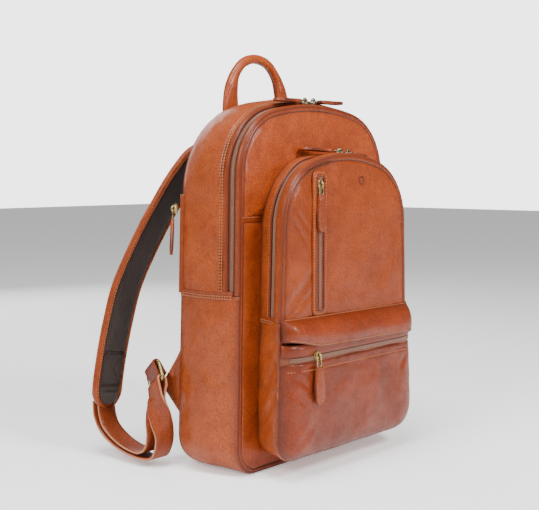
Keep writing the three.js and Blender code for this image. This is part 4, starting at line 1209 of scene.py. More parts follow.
BAND_SECTION = ((0.0, -0.6), (0.02, 1.2), (0.06, 3.9), (0.12, 7.2), (0.2, 10.6), (0.3, 13.4), (0.42, 15.6),
    (0.55, 16.8),
    (0.68, 17.2), (0.8, 16.9), (0.88, 16.4), (0.93, 16.0), (0.97, 16.2), (1.0, 15.6), (1.01, 14.4),
    (0.99, 11.0))
BAND_CREASES = [
    ((-112, -90, 158), (-98, -101, 163), 3.2, 2.2),
    ((-110, -90, 150), (-92, -101, 154), 3.0, 1.2),
    ((-60, -100, 166), (-20, -101, 168), 3.0, 0.5),
    ((20, -100, 167), (66, -101, 164), 3.0, 0.5),
    ((96, -98, 158), (112, -92, 150), 3.0, 1.2),
]
band_x = np.concatenate([np.linspace(-116.6, -96, 18, endpoint=False),
    np.linspace(-96, 96, 90, endpoint=False),
    np.linspace(96, 116.6, 18)])


def band_place(x, share, height):
    """Height z, how much the ends draw the band in there, and how far it stands out."""
    high = BAND_TOP - 1.6 * (x + 116) / 232
    z = high + (band_low(x) - high) * share
    pull = 1 - math.exp(-(face_edge(z) + 1.0 - abs(x)) / 5.0)
    raw = (x, POCKET_FACE - height, z)
    slack = ripple(raw, 26, 1.3, 2.2) + crease_height(raw, BAND_CREASES)
    return z, pull, height * pull + slack * min(height / 8, 1) * pull


band_points = []
band_seam_and_shade = []
for share, height in BAND_SECTION:
    for x in band_x:
        z, pull, lift = band_place(x, share, height)
        band_points.append((x, POCKET_FACE - 0.4 - lift, z))
        # Darker at both sewn edges, and painted shade where the ends are drawn in to the pleats.
        band_seam_and_shade.append(max(math.exp(-share * 34 / 4), math.exp(-(1 - share) * 34 / 3), 1 - pull))
faces = face_outwards(band_points, grid_faces(len(BAND_SECTION), len(band_x)), (0, -70, 150))
band = make_object("band_leather", band_points, faces, band_leather, "shell", seam=band_seam_and_shade)
give_thickness(band, 1.6)
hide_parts("pocket_band")


def band_line(share, height):
    """A stitch line along the band."""
    line = []
    for x in np.linspace(-112, 112, 140):
        z, _, rise = band_place(x, share, height)
        line.append((x, POCKET_FACE - 0.4 - rise - 0.2, z))
    return np.array(line)


stitch_row("band_low_stitches", [facing(band_line(0.93, 16.0), front)], "shell", pitch=3.0, length=2.4)
stitch_row("band_top_stitches", [facing(band_line(0.05, 3.4), (0, -0.7, 0.7))], "shell", pitch=3.0,
    length=2.4)

# %% [markdown]
# ## The pouch
#
# The pouch bellies out from the seam round the pocket's foot. Its panel is a half disc of rings: they
# start on the sewn edge and close in on the middle of the zip edge, so the belly rises equally from the
# seam all the way round while the zip edge stays straight.

# %% Pouch
POUCH_TOP = 126.4
pouch_path, pouch_outs = under_base(FACE_ARCH, POUCH_TOP)


def pouch_height(inset):
    return puff(inset) - 3.0 * math.exp(-inset / 0.9)


POUCH_CREASES = [
    ((-112, -92, 118), (-96, -99, 104), 3.5, 1.2),
    ((-110, -92, 100), (-88, -99, 78), 5.0, 1.5),
    ((-100, -96, 112), (-84, -100, 92), 3.0, 0.8),
    ((-98, -94, 40), (-80, -98, 56), 5.0, 1.0),
    ((100, -94, 112), (84, -100, 98), 4.0, 1.0),
    ((104, -94, 50), (84, -98, 60), 4.0, 0.9),
    ((-30, -101, 118), (20, -102, 112), 5.0, 0.6),
]
insets = (0.0, 0.5, 1.0, 1.8, 3.0, 4.6, 6.6, 9.2, 12.4, 16.5)
levels = [(inset, 0.0) for inset in insets] + [(insets[-1], t) for t in np.linspace(0, 1, 44)[1:-1]]
centre = np.array((0.0, POUCH_TOP))
rays = pouch_path - centre
rays /= np.linalg.norm(rays, axis=1)[:, None]
slope = np.clip(np.einsum("ij,ij->i", rays, pouch_outs), 0.3, 1)
pouch_points = []
pouch_seam_and_shade = []
for inset, t in levels:
    edge = pouch_path - rays * (inset / slope)[:, None]
    flat = edge + (centre - edge) * t
    for k, (x, z) in enumerate(flat):
        away = np.linalg.norm(pouch_path[k] - flat[k]) * slope[k]
        raw = (x, POCKET_FACE - 12, z)
        calm = min(away / 10, 1.0)
        sag = 1.6 * math.exp(-(((z - 78) / 34) ** 2)) * calm
        lift = pouch_height(away) + sag + calm * (ripple(raw, 40, 2.0, 6.1) + ripple(raw, 16, 0.5, 9.9))
        lift += calm * crease_height(raw, POUCH_CREASES)
        lift -= 1.4 * math.exp(-(((POUCH_TOP - z) / 1.3) ** 2))
        lift -= 0.35 * math.exp(-(((POUCH_TOP - 9.0 - z) / 1.2) ** 2)) * calm
        pouch_points.append((x, POCKET_FACE - lift, z))
        # Darker at the sewn edge, and painted shade along the top edge, where the pouch runs in under the zip
        # tape.
        pouch_seam_and_shade.append(max(math.exp(-away / 4), 0.7 * math.exp(-abs(POUCH_TOP - z) / 2)))
count = len(pouch_path)
faces = grid_faces(len(levels), count)
pouch_points.append((0, POCKET_FACE - puff(90), POUCH_TOP))
pouch_seam_and_shade.append(0.5)
last = (len(levels) - 1) * count
faces += [(last + k, last + k + 1, len(pouch_points) - 1) for k in range(count - 1)]
pouch_leather = leather("pouch_leather", "943400", "782800", "421400", polish=0.42, grain=0.5)
pouch = make_object("pouch_front_leather", pouch_points, face_outwards(pouch_points, faces, (0, -40, 80)),
    pouch_leather,
    "shell", seam=pouch_seam_and_shade)
give_thickness(pouch, 1.6)
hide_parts("pouch_front")


def pouch_line(z, lift, reach=112, count=120):
    xs = np.linspace(-reach, reach, count)
    return np.array([(x, POCKET_FACE - puff(face_edge(z) - abs(x)) - lift, z) for x in xs])


line = pouch_line(POUCH_TOP - 9, 0.3, 113)
stitch_row("pouch_zip_stitches_low", [facing(line, front)], "shell", pitch=3.3)

# %% [markdown]
# The pouch zip lies in a strip of tape that follows the belly. A folded strip of leather covers the tape
# above the teeth and disappears under the band.

# %% Pouch zip
def pouch_strip(name, section, material, reach=117.0):
    """A strip along the pouch zip. section lists (z, lift) from its lower to its upper edge."""
    xs = np.linspace(-reach, reach, 130)
    rows = [[(x, POCKET_FACE - puff(face_edge(z) - abs(x)) - lift, z) for x in xs] for z, lift in section]
    return sheet(name, rows, (0, -40, 130), material, 0.8, 0.45)


POUCH_ZIP_Z = 130.0
tape = pouch_strip("pouch_tape", ((124, -1.2), (127, -0.8), (129.5, -0.6), (132, -0.8), (136, -1.2)),
    zip_tape)
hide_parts("pouch_zip")
pouch_strip("pouch_zip_flap", ((133.2, -0.9), (133.0, 0.2), (133.8, 0.7), (136, 0.9), (140, 1.0), (146, 0.6)),
    band_leather)
line = pouch_line(POUCH_ZIP_Z, -0.2, 110)
zip_chain("pouch_teeth", *facing(line, front), "shell", width=4.4)
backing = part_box("pouch_backing")
print("pouch backing spans z", [round(v.z, 3) for v in backing])

# %% [markdown]
# ## The back
#
# Against the wearer lies a flat panel with a foam pad under open mesh, which lets air through. The pad has
# two sewn channels, so it bends with the spine. It is again a ringed panel, with the channels pressed
# in by a height function.

# %% Back panel and padding
def whole(arch):
    top_path, top_outs = over_crown(arch, 200)
    low_path, low_outs = under_base(arch, 200)
    return np.vstack([top_path[:-1], low_path[:-1]]), np.vstack([top_outs[:-1], low_outs[:-1]])


path, outs = whole(BACK_ARCH)
back = ringed_panel("back_leather", path, outs, 42.2, 1, ROLLED_EDGE, 0.2, side_leather, "shell",
    slack=0.4, centre=(0, 200))
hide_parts("back_panel")


CHANNEL_X = 42
PAD_Y = 44.2


def pad_shape(x, z):
    """Two upright channels with a pillow on each side of them."""
    groove = math.exp(-(((abs(x) - CHANNEL_X) / 3.2) ** 2))
    return -3.6 * groove


path, outs = denser(*loop_points(122, 26, 334, 62, 14, low_corner=30), 4.0)
pad_roll = [(0, -0.8), (0.4, 1.2), (1.6, 3.2), (3.6, 4.8), (6.5, 6.0), (10, 6.9), (15, 7.6)]
pad = ringed_panel("back_pad_mesh", path, outs, PAD_Y, 1, pad_roll, 1.0, back_mesh, "shell",
    slack=0.5,
    centre=(0, 180), rings=60, shape=pad_shape)
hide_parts("back_padding")
rim_section = ((-1.5, -0.8), (-1.0, 1.4), (0.8, 2.6), (3.2, 3.0), (4.6, 2.2), (5.0, 0.6), (4.6, -0.6))
rim_rows = []
for inset, height in rim_section:
    y = PAD_Y + height + 1.6
    rim_rows.append([(p[0] - (inset - 3) * o[0], y, p[1] - (inset - 3) * o[1]) for p, o in zip(path, outs)])
sheet("back_pad_binding", rim_rows, (0, -60, 180), trim_leather, 1.0, 0.3, closed=True)
inner = np.stack([path[:, 0] - 0.4 * outs[:, 0], np.full(len(path), 48.9), path[:, 1] - 0.4 * outs[:, 1]], 1)
rear = (0, 1, 0)
stitch_row("back_pad_stitches", [facing(np.vstack([inner, inner[:1]]), rear)], "shell", pitch=3.6)
channels = [straight((sx * CHANNEL_X, 49.9, 44), (sx * CHANNEL_X, 49.9, 318), rear, 60) for sx in (-1, 1)]
stitch_row("back_channel_stitches", channels, "shell", dark_thread, pitch=4.0, length=3.1)
print("pad points:", len(pad.data.vertices))

# %% [markdown]
# ## The zip in the back seam
#
# A short zip in the left back seam opens a flat pocket against the wearer's back.

# %% Side zip
side_out = np.array((-math.sqrt(0.5), math.sqrt(0.5), 0))
side_across = np.array((math.sqrt(0.5), math.sqrt(0.5), 0))


def side_place(z, lift=0.0):
    return np.array((-side_at(BACK_ARCH, z) + 0.4, 44.0, z)) + side_out * lift


levels = np.linspace(194, 302, 50)
rows = []
for offset, lift in ((-5.4, -8.0), (-5.0, 0.4), (-3.9, 0.9), (-3.0, 0.5), (-2.8, -0.3), (2.8, -0.3),
    (3.0, 0.5), (3.9, 0.9),
                     (5.0, 0.4), (5.4, -8.0)):
    rows.append([side_place(z, lift) + side_across * offset for z in levels])
side_tape = sheet("side_zip_edges", rows, (-100, 10, 250), side_leather, 0.7, 0.4)
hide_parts("side_zip")
line = np.array([side_place(z, 0.5) for z in levels])
zip_chain("side_teeth", *facing(line, side_out), "shell", width=4.2)

# %% [markdown]
# ## Zip pulls
#
# Each pull is a cast brass slider, a wire link and a doubled leather tab with stitches round its edge.
# The frame knows where each one turns, so the joint's point and axis give the pull's own directions:
# along the tab, across it, and up from the leather. Every pull is built once in those directions.

# %% Zip pulls
JOINTS = {joint["name"]: joint for joint in frame["joints"]}


def middle_of(node):
    low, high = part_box(node)
    return (np.array(low) + np.array(high)) / 2 / MM


def pull_axes(name):
    """Pivot in millimetres, and the directions along the tab, across it and up."""
    joint = JOINTS[f"{name}_flap"]
    pivot = np.array(joint["pos_m"]) / MM
    lift_axis = np.array(joint["axis"], float)
    along = middle_of(f"{name}_tab") - pivot
    along -= lift_axis * along.dot(lift_axis)
    along /= np.linalg.norm(along)
    up = np.cross(lift_axis, along)
    return pivot, along, np.cross(up, along), up


def wrapped_faces(loops, count):
    """Faces that join the rings of a solid's two faces over its rim, and close both middles."""
    half = len(loops) // 2
    order = list(reversed(loops[half:])) + loops[:half]
    faces = []
    for a, b in zip(order[:-1], order[1:]):
        faces += [(a + k, a + (k + 1) % count, b + (k + 1) % count, b + k) for k in range(count)]
    faces.append(tuple(order[0] + k for k in reversed(range(count))))
    faces.append(tuple(order[-1] + k for k in range(count)))
    return faces


def pillow(outline, levels):
    """A closed solid: the outline drawn in by each level's inset and raised by its height, on both
    faces. Levels run from the rim to the middle. Local points are (along, across, up)."""
    outline = np.asarray(outline, float)
    middle = outline.mean(0)
    rays = outline - middle
    reach = np.linalg.norm(rays, axis=1)
    points = []
    loops = []
    for sign in (1, -1):
        for inset, height in levels:
            scale = np.clip(1 - inset / reach, 0.02, 1)[:, None]
            ring_points = middle + rays * scale
            loops.append(len(points))
            points.extend((p[0], p[1], sign * height) for p in ring_points)
    return np.array(points), wrapped_faces(loops, len(outline))


def tube(path, radii, sides=10, closed=False, flat=1.0):
    """A round tube along a path. flat squeezes it along its second direction."""
    path = np.asarray(path, float)
    count = len(path)
    radii = np.broadcast_to(radii, (count,))
    if closed:
        ahead = np.roll(path, -1, 0) - np.roll(path, 1, 0)
    else:
        ahead = np.gradient(path, axis=0)
    ahead /= np.linalg.norm(ahead, axis=1)[:, None]
    guide = np.array((0.31, 0.2, 0.93))
    guide = guide - ahead[0] * guide.dot(ahead[0])
    points = []
    for place, forward, radius in zip(path, ahead, radii):
        guide = guide - forward * guide.dot(forward)
        guide /= np.linalg.norm(guide)
        other = np.cross(forward, guide)
        for k in range(sides):
            angle = 2 * math.pi * k / sides
            points.append(place + guide * radius * math.cos(angle) + other * radius * flat * math.sin(angle))
    faces = grid_faces(count, sides, closed=True)
    if closed:
        last = (count - 1) * sides
        faces += [(last + k, last + (k + 1) % sides, (k + 1) % sides, k) for k in range(sides)]
    else:
        faces += end_caps(count, sides)
    return np.array(points), faces


def join_parts(parts):
    points = []
    faces = []
    for more, sides in parts:
        faces += [tuple(i + len(points) for i in f) for f in sides]
        points += [tuple(p) for p in more]
    return np.array(points), faces


def set_in(axes, local):
    pivot, along, across, up = axes
    local = np.asarray(local, float)
    return pivot + local[:, :1] * along + local[:, 1:2] * across + local[:, 2:] * up


def outward_faces(points, faces):
    return face_outwards(points, faces, np.mean(points, 0))


TAB_LEVELS = ((0.0, 0.0), (0.0, 1.0), (0.2, 1.5), (0.7, 1.75), (1.4, 1.7), (2.1, 1.42), (2.8, 1.72),
    (3.8, 1.95), (5.6, 2.1), (7.2, 2.15))
TAB_START = 10.2
TAB_TIP = 49.6


def tab_outline(grow=0.0):
    """Narrow where it folds over the link, wider and round at its free end."""
    wide = 8.0 + grow
    neck = 5.4 + grow
    half = [(TAB_START - grow, neck * 0.92)]
    half += [(s, neck + (wide - neck) * (1 - math.cos(math.pi * (s - 14) / 20)) / 2) for s
        in np.linspace(14, 34, 9)]
    end = TAB_TIP - 8.0
    half += [(end + wide * math.sin(a), wide * math.cos(a)) for a in np.linspace(0, math.pi / 2, 9)]
    return np.array(half + [(x, -y) for x, y in reversed(half[:-1])])


def slider_parts():
    """A teardrop plate, a raised saddle over it, and the bridge that carries the link."""
    teardrop = [(5.6 * math.cos(a) - 0.4, (4.1 - 0.9 * math.cos(a)) * math.sin(a)) for a in np.linspace(0,
        2 * math.pi, 26)[:-1]]
    plate = pillow(teardrop, ((0.0, 0.0), (0.0, 0.7), (0.4, 1.15), (1.1, 1.3), (2.4, 1.35)))
    lower = pillow([(x * 0.96, y) for x, y in teardrop], ((0.0, 0.0), (0.1, 0.5), (0.6, 0.8), (1.5, 0.9)))
    arc = [(-3.9 + 7.4 * t, 0, 1.2 + 2.7 * math.sin(math.pi * t) ** 0.7) for t in np.linspace(0.02, 0.98, 15)]
    bridge = tube(arc, 1.15 + 0.25 * np.cos(np.linspace(-1, 1, 15) * math.pi), 10, flat=1.3)
    return plate, lower, bridge


def rounded_link(length, width, wire, corner=2.6, start=0.0):
    """A closed loop of wire in the along and across plane."""
    points, _ = loop_points(width / 2 - wire, 0, length - 2 * wire, corner, 7)
    path = [(start + z, x, 0) for x, z in points]
    return tube(path, wire, 10, closed=True)


def zip_pull(name, metal=brass):
    axes = pull_axes(name)
    pivot, along, across, up = axes
    seat = middle_of(f"{name}_slider")
    plate, lower, bridge = slider_parts()
    seat_axes = (seat - up * 0.7, along, across, up)
    high = (plate[0], plate[1])
    low = (lower[0] + np.array((0, 0, -1.6)), lower[1])
    local, faces = join_parts([high, low, bridge])
    points = set_in(seat_axes, local)
    slider = make_object(f"{name}_cast_slider", points, outward_faces(points, faces), metal,
        f"{name}_slider")
    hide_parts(f"{name}_slider")
    local, faces = rounded_link(12.6, 8.2, 0.85, 2.8, -1.0)
    points = set_in(axes, local)
    link = make_object(f"{name}_wire_link", points, outward_faces(points, faces), metal, f"{name}_pull")
    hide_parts(f"{name}_link")
    local, faces = pillow(tab_outline(), TAB_LEVELS)
    points = set_in(axes, local)
    reach = np.clip(np.abs(local[:, 1]) / 8.0, 0, 1) ** 6
    tab = make_object(f"{name}_leather_tab", points, outward_faces(points, faces), trim_leather,
        f"{name}_pull",
        seam=np.maximum(reach, 0.15))
    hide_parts(f"{name}_tab")
    inner = tab_outline(-2.1)
    for sign, label in ((1, "face"), (-1, "back")):
        loop = set_in(axes, [(x, y, sign * 1.55) for x, y in inner[1:-1]])
        stitch_row(f"{name}_tab_stitches_{label}", [facing(loop, up * sign)], f"{name}_pull", pitch=2.3,
            length=1.7,
            thick=0.32)
    # The hide is folded back over the wire: a soft round hem across the neck.
    hem = [(TAB_START + 0.9, y, 0) for y in np.linspace(-4.7, 4.7, 9)]
    local, faces = tube(hem, 2.05, 14)
    points = set_in(axes, local)
    make_object(f"{name}_tab_fold", points, outward_faces(points, faces), trim_leather, f"{name}_pull",
        seam=[0.35] * len(points))


for name in ("main_left", "main_right", "pocket_left", "pocket_right"):
    zip_pull(name, gunmetal)
for name in ("upright", "pouch", "side"):
    zip_pull(name)
print("zip pulls made: 7")

# %% [markdown]
# ## Handle and yoke
#
# The carrying handle is one band of leather rolled round a cord. Its flat ends run down the back and are
# sewn into a yoke patch with crossed boxes of stitches. The whole handle is a single sweep whose section
# turns from a flat strip into a round grip.

# %% Handle
def spline(stops, count, closed=False):
    """A Catmull-Rom line through stops, evenly spaced."""
    stops = np.array(stops, float)
    padded = np.vstack([2 * stops[0] - stops[1], stops, 2 * stops[-1] - stops[-2]])
    line = []
    for i in range(1, len(padded) - 2):
        for t in np.linspace(0, 1, 30, endpoint=False):
            line.append(curve_point(*padded[i - 1 : i + 3], t))
    line.append(stops[-1])
    line = np.array(line)
    along = np.concatenate([[0], np.cumsum(np.linalg.norm(np.diff(line, axis=0), axis=1))])
    marks = np.linspace(0, along[-1], count)
    return np.stack([np.interp(marks, along, line[:, k]) for k in range(line.shape[1])], 1), along[-1]


HANDLE_Y = 49.6
handle_stops = [(-46, HANDLE_Y, 369), (-46, HANDLE_Y, 388), (-45.8, HANDLE_Y, 404),
    (-43.5, HANDLE_Y + 1, 422),
    (-36, HANDLE_Y + 2, 440), (-21, HANDLE_Y + 2, 454.5), (0, HANDLE_Y + 2, 459.6)]
handle_stops += [(-x, y, z) for x, y, z in reversed(handle_stops[:-1])]
handle_line, handle_length = spline(handle_stops, 150)
handle_ahead = np.gradient(handle_line, axis=0)
handle_ahead /= np.linalg.norm(handle_ahead, axis=1)[:, None]
handle_across = np.cross(handle_ahead, (0, 1, 0))
handle_across /= np.linalg.norm(handle_across, axis=1)[:, None]


def handle_size(z):
    """Half width and half depth of the handle's section at a height."""
    turned = min(max((z - 398) / 52, 0), 1)
    turned = turned * turned * (3 - 2 * turned)
    return 12.6 + (5.6 - 12.6) * turned, 2.5 + (5.7 - 2.5) * min(turned * 1.8, 1)


handle_points = []
handle_seam_and_shade = []
SIDES = 32
for place, across in zip(handle_line, handle_across):
    wide, deep = handle_size(place[2])
    power = 0.55 + 0.45 * min(deep / wide, 1)
    for k in range(SIDES):
        angle = 2 * math.pi * k / SIDES
        c, s = math.cos(angle), math.sin(angle)
        u = math.copysign(abs(c) ** power, c) * wide
        v = math.copysign(abs(s) ** power, s) * deep
        # The band's two edges meet in a seam along the inner side of the arch.
        notch = math.exp(-(((angle - math.pi) / 0.16) ** 2)) * min(1, deep / 5)
        u += notch * 0.9
        handle_points.append(place + across * u + np.array((0, v, 0)))
        # Darker at the band's edges, and painted shade in the seam groove on the inner side.
        handle_seam_and_shade.append(max(0.8 * notch, 0.5 * abs(c) ** 10))
faces = grid_faces(len(handle_line), SIDES, closed=True)
faces += end_caps(len(handle_line), SIDES)
handle_leather = leather("handle_leather", "BC561E", "A64818", "62220A", polish=0.3, grain=0.35)
faces = face_outwards(handle_points, faces, (0, HANDLE_Y, 380))
a, b, c = (np.array(handle_points[i]) for i in faces[0][:3])
if np.dot(np.cross(b - a, c - a), a - handle_line[0]) < 0:
    faces = turned(faces)
handle = make_object("handle_leather", handle_points, faces, handle_leather, None,
    seam=handle_seam_and_shade)
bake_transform(handle)
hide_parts("handle")

leg_lines = []
for side in (-1, 1):
    for edge in (-1, 1):
        leg = np.array([(side * 46 + edge * 10.2, HANDLE_Y + 2.55, z) for z in np.linspace(371, 399, 16)])
        leg_lines += [facing(leg, rear), facing(leg - (0, 5.1, 0), front)]
stitch_row("handle_leg_stitches", leg_lines, "shell", pitch=3.2)
print("handle length", round(float(handle_length)), "mm")

# %% Yoke
yoke_outline = [(-74, 336), (74, 336), (74, 371), (66, 375), (30, 380), (-30, 380), (-66, 375), (-74, 371)]
yoke_loop = []
yoke_outs = []
for k, start in enumerate(yoke_outline):
    end = yoke_outline[(k + 1) % len(yoke_outline)]
    run = np.array(end, float) - np.array(start, float)
    out = np.array((run[1], -run[0])) / np.linalg.norm(run)
    steps = max(2, int(np.linalg.norm(run) / 3))
    for i in range(steps):
        yoke_loop.append(np.array(start) + run * i / steps)
        yoke_outs.append(out)
YOKE_ROLL = [(0, -0.6), (0.0, 1.4), (0.5, 2.4), (1.4, 2.9), (2.8, 3.0), (3.6, 2.7), (4.6, 3.1), (8, 3.2)]
yoke = ringed_panel("yoke_leather", yoke_loop, yoke_outs, 43.6, 1, YOKE_ROLL, 0.1, trim_leather, "shell",
    slack=0.2, centre=(0, 358), rings=14)
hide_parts("strap_yoke")
sewn = np.array([(p[0] - 3.6 * o[0], 46.75, p[1] - 3.6 * o[1]) for p, o in zip(yoke_loop, yoke_outs)])
CROSSED_BOX = ((0, 1), (1, 2), (2, 3), (3, 0), (0, 2), (1, 3))
LEG_FACE_Y = 52.2
box_lines = [facing(np.vstack([sewn, sewn[:1]]), rear)]
for side in (-1, 1):
    cx = side * 46
    corners = [(cx + dx, LEG_FACE_Y, z) for dx, z in ((-9, 371), (9, 371), (9, 385), (-9, 385))]
    for a, b in CROSSED_BOX:
        box_lines.append(straight(corners[a], corners[b], rear, 8))
stitch_row("yoke_stitches", box_lines, "shell", pitch=3.1)

# %% [markdown]
# ## Shoulder straps
#
# A strap is a long pad: leather on the outside, wrapped round the foam and bound along both edges of the
# dark mesh that touches the shoulder. It leaves the yoke, arches over and hangs behind the bag. Two
# sections are swept along one line of places: a leather one with raised lips and a mesh one that
# fills the space between the lips.

# %% Shoulder straps
STRAP_STOPS = [(-50, 51, 347), (-50.5, 59, 350), (-55, 68, 352), (-65, 79, 343), (-79, 88, 323),
    (-95, 98, 294),
    (-112, 113, 253), (-130, 131, 197), (-139, 139, 152), (-146, 143, 112), (-152, 144, 76), (-154, 143, 52)]
STRAP_WIDTH = 46.0
strap_line, strap_length = spline(STRAP_STOPS, 190)
strap_ahead = np.gradient(strap_line, axis=0)
strap_ahead /= np.linalg.norm(strap_ahead, axis=1)[:, None]
share = np.linspace(0, 1, len(strap_line))[:, None]
strap_across = np.array((1, 0, 0.12)) * (1 - share) + np.array((1, 0.12, -0.1)) * share
strap_across -= strap_ahead * np.einsum("ij,ij->i", strap_across, strap_ahead)[:, None]
strap_across /= np.linalg.norm(strap_across, axis=1)[:, None]
strap_out = np.cross(strap_across, strap_ahead)


def strap_width(s):
    """Full width until the round end."""
    left = (1 - s) * strap_length
    radius = STRAP_WIDTH / 2
    return STRAP_WIDTH if left > radius else 2 * math.sqrt(max(radius**2 - (radius - left) ** 2, 6.0))


def mirror(points, side):
    """The strap is shaped on the left. The right one is its mirror image."""
    return np.asarray(points, float) * np.array((-side, 1, 1))


def flip(faces, side):
    """A mirrored piece needs its faces turned over."""
    return faces if side < 0 else turned(faces)


def sweep(section_at, line, across, out, taper):
    """Section points (a, o) are measured across the strap and outwards."""
    points = []
    for i, (place, a_way, o_way) in enumerate(zip(line, across, out)):
        for a, o in section_at(taper(i), i):
            points.append(place + a_way * a + o_way * o)
    return np.array(points)


def cover_section(width, i):
    """Leather: round outer face, and a lip on each side of the mesh."""
    h = width / 2
    lip = min(6.2, h * 0.5)
    pull = 0.25 * math.sin(i * 0.9)
    return [(-h + lip, 1.4), (-h + lip * 0.85, 0.2), (-h + lip * 0.5, -0.35), (-h + 1.2, 0.3), (-h, 2.0),
        (-h - 0.1, 4.6),
        (-h + 0.9, 7.0), (-h + 3.2, 8.4), (-h * 0.6, 9.2 + pull * 0.3), (0, 9.5),
        (h * 0.6, 9.2 - pull * 0.3), (h - 3.2, 8.4), (h - 0.9, 7.0),
        (h + 0.1, 4.6), (h, 2.0), (h - 1.2, 0.3), (h - lip * 0.5, -0.35), (h - lip * 0.85, 0.2),
        (h - lip, 1.4),
        (h * 0.4, 2.0), (0, 2.0), (-h * 0.4, 2.0)]


PATCH_FROM, PATCH_TO = 0.815, 0.925


def mesh_section(width, i):
    """Mesh pad: a low pillow, pressed flat where the patch of crossed stitches is."""
    s = i / (len(strap_line) - 1)
    h = max(width / 2 - 4.9, 0.6)
    rise = 1.3
    for edge in (PATCH_FROM, PATCH_TO, 0.945):
        rise -= 1.5 * math.exp(-(((s - edge) / 0.006) ** 2))
    if PATCH_FROM < s < PATCH_TO:
        rise -= 0.7
    if s > 0.95:
        rise += 0.9
    return [(-h, 1.6), (-h * 0.97, 0.7), (-h * 0.85, 0.2 - 0.4 * rise), (-h * 0.5, 0.1 - rise),
        (0, 0.1 - rise * 1.1),
        (h * 0.5, 0.1 - rise), (h * 0.85, 0.2 - 0.4 * rise), (h * 0.97, 0.7), (h, 1.6), (0, 1.9)]


def strap_piece(name, section_at, count, material, side, from_s, to_s):
    first = int(from_s * (len(strap_line) - 1))
    last = int(to_s * (len(strap_line) - 1)) + 1
    pick = slice(first, last)
    taper = lambda i: strap_width((first + i) / (len(strap_line) - 1))
    shifted = lambda width, i: section_at(width, first + i)
    points = sweep(shifted, strap_line[pick], strap_across[pick], strap_out[pick], taper)
    rows = last - first
    faces = grid_faces(rows, count, closed=True)
    faces += end_caps(rows, count)
    # One face halfway along is tested: the cover's looks away from the back, the mesh's towards it.
    tested, looks = (8, 1) if count > 12 else (4, -1)
    start = (rows // 2) * count + tested
    a, b, c = points[start], points[start + 1], points[start + count + 1]
    if looks * np.dot(np.cross(b - a, c - a), strap_out[pick][rows // 2]) < 0:
        faces = turned(faces)
    faces = flip(faces, side)
    # Darker along the lips and outer edges: partly the hide's edge colour, partly painted shade where the
    # lips meet the mesh.
    seams = [0.55 if k in (0, 18, 4, 14) else 0.1 for _ in range(rows) for k in range(count)]
    return make_object(name, mirror(points, side), faces, material,
        f"shoulder_strap_{'left' if side < 0 else 'right'}",
        seam=seams)


PATCH_REACH = STRAP_WIDTH / 2 - 6.8
PATCH_CORNERS = np.array([(PATCH_FROM, -PATCH_REACH), (PATCH_FROM, PATCH_REACH), (PATCH_TO, PATCH_REACH),
    (PATCH_TO, -PATCH_REACH)])


def patch_line(start, end):
    """A stitch line on the mesh between two corners, each a share of the length and a place across."""
    run = []
    out = []
    for share, across in (start + (end - start) * t for t in np.linspace(0, 1, 14)):
        i = int(round(share * (len(strap_line) - 1)))
        run.append(strap_line[i] + strap_across[i] * across - strap_out[i] * 0.7)
        out.append(-strap_out[i])
    return run, out


for label, side in BOTH_SIDES:
    body = f"shoulder_strap_{label}"
    cover = strap_piece(f"strap_cover_{label}", cover_section, 22, side_leather, side, 0, 1)
    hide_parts(f"strap_{label}")
    under = strap_piece(f"strap_underside_{label}", mesh_section, 10, strap_mesh, side, 0.03,
        0.985)
    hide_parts(f"strap_mesh_{label}")
    lines = []
    for edge in (-1, 1):
        inner = []
        outer = []
        for i in range(6, len(strap_line) - 8):
            h = strap_width(i / (len(strap_line) - 1)) / 2
            inner.append(strap_line[i] + strap_across[i] * edge * (h - 3.4) + strap_out[i] * -0.32)
            outer.append(strap_line[i] + strap_across[i] * edge * (h - 4.2) + strap_out[i] * 8.75)
        lines.append((mirror(inner, side), mirror(-strap_out[6 : len(strap_line) - 8], side)))
        lines.append((mirror(outer, side), mirror(strap_out[6 : len(strap_line) - 8], side)))
    stitch_row(f"strap_stitches_{label}", lines, body, pitch=3.3)
    lines = []
    for a, b in CROSSED_BOX:
        run, out = patch_line(PATCH_CORNERS[a], PATCH_CORNERS[b])
        lines.append((mirror(run, side), mirror(out, side)))
    stitch_row(f"strap_box_stitches_{label}", lines, body, dark_thread, pitch=2.6, length=2.0, thick=0.4)
print("strap length", round(float(strap_length)), "mm")

# %% [markdown]
# ## Wing, ring and leather loop
#
# A triangle of doubled leather, the wing, is sewn into the back seam low on each side. A strip from its tip
# holds a rectangular brass ring, which the adjuster passes through.

# %% Wing, loop and ring
BAR = np.array((0.14, 0.75, -0.645))
BAR /= np.linalg.norm(BAR)
HANG = np.array((-0.25, -0.66, -0.71))
HANG -= BAR * HANG.dot(BAR)
HANG /= np.linalg.norm(HANG)
RING_HEAD = np.array((-150.0, 72.0, 108.0))
AWAY = np.cross(BAR, (1, 0, 0))
AWAY /= np.linalg.norm(AWAY)
if AWAY[2] < 0:
    AWAY = -AWAY
RING_ACROSS = 27.0
RING_ALONG = 18.0
WIRE = 3.6


WING_Y = 43.4
WING_HIGH = 131
WING_LOW = 56
WING_HALF_TIP = 11.5
WING_SHIFT = np.array((2, 0, 0))
wing_edge = 4 - side_at(BACK_ARCH, WING_LOW)
tail = RING_HEAD - AWAY * 15 + np.array((7.5, 0, 0))
wing_corners = [np.array((wing_edge, WING_Y, WING_HIGH)), tail - BAR * WING_HALF_TIP,
    tail + BAR * WING_HALF_TIP,
    np.array((wing_edge, WING_Y, WING_LOW))]


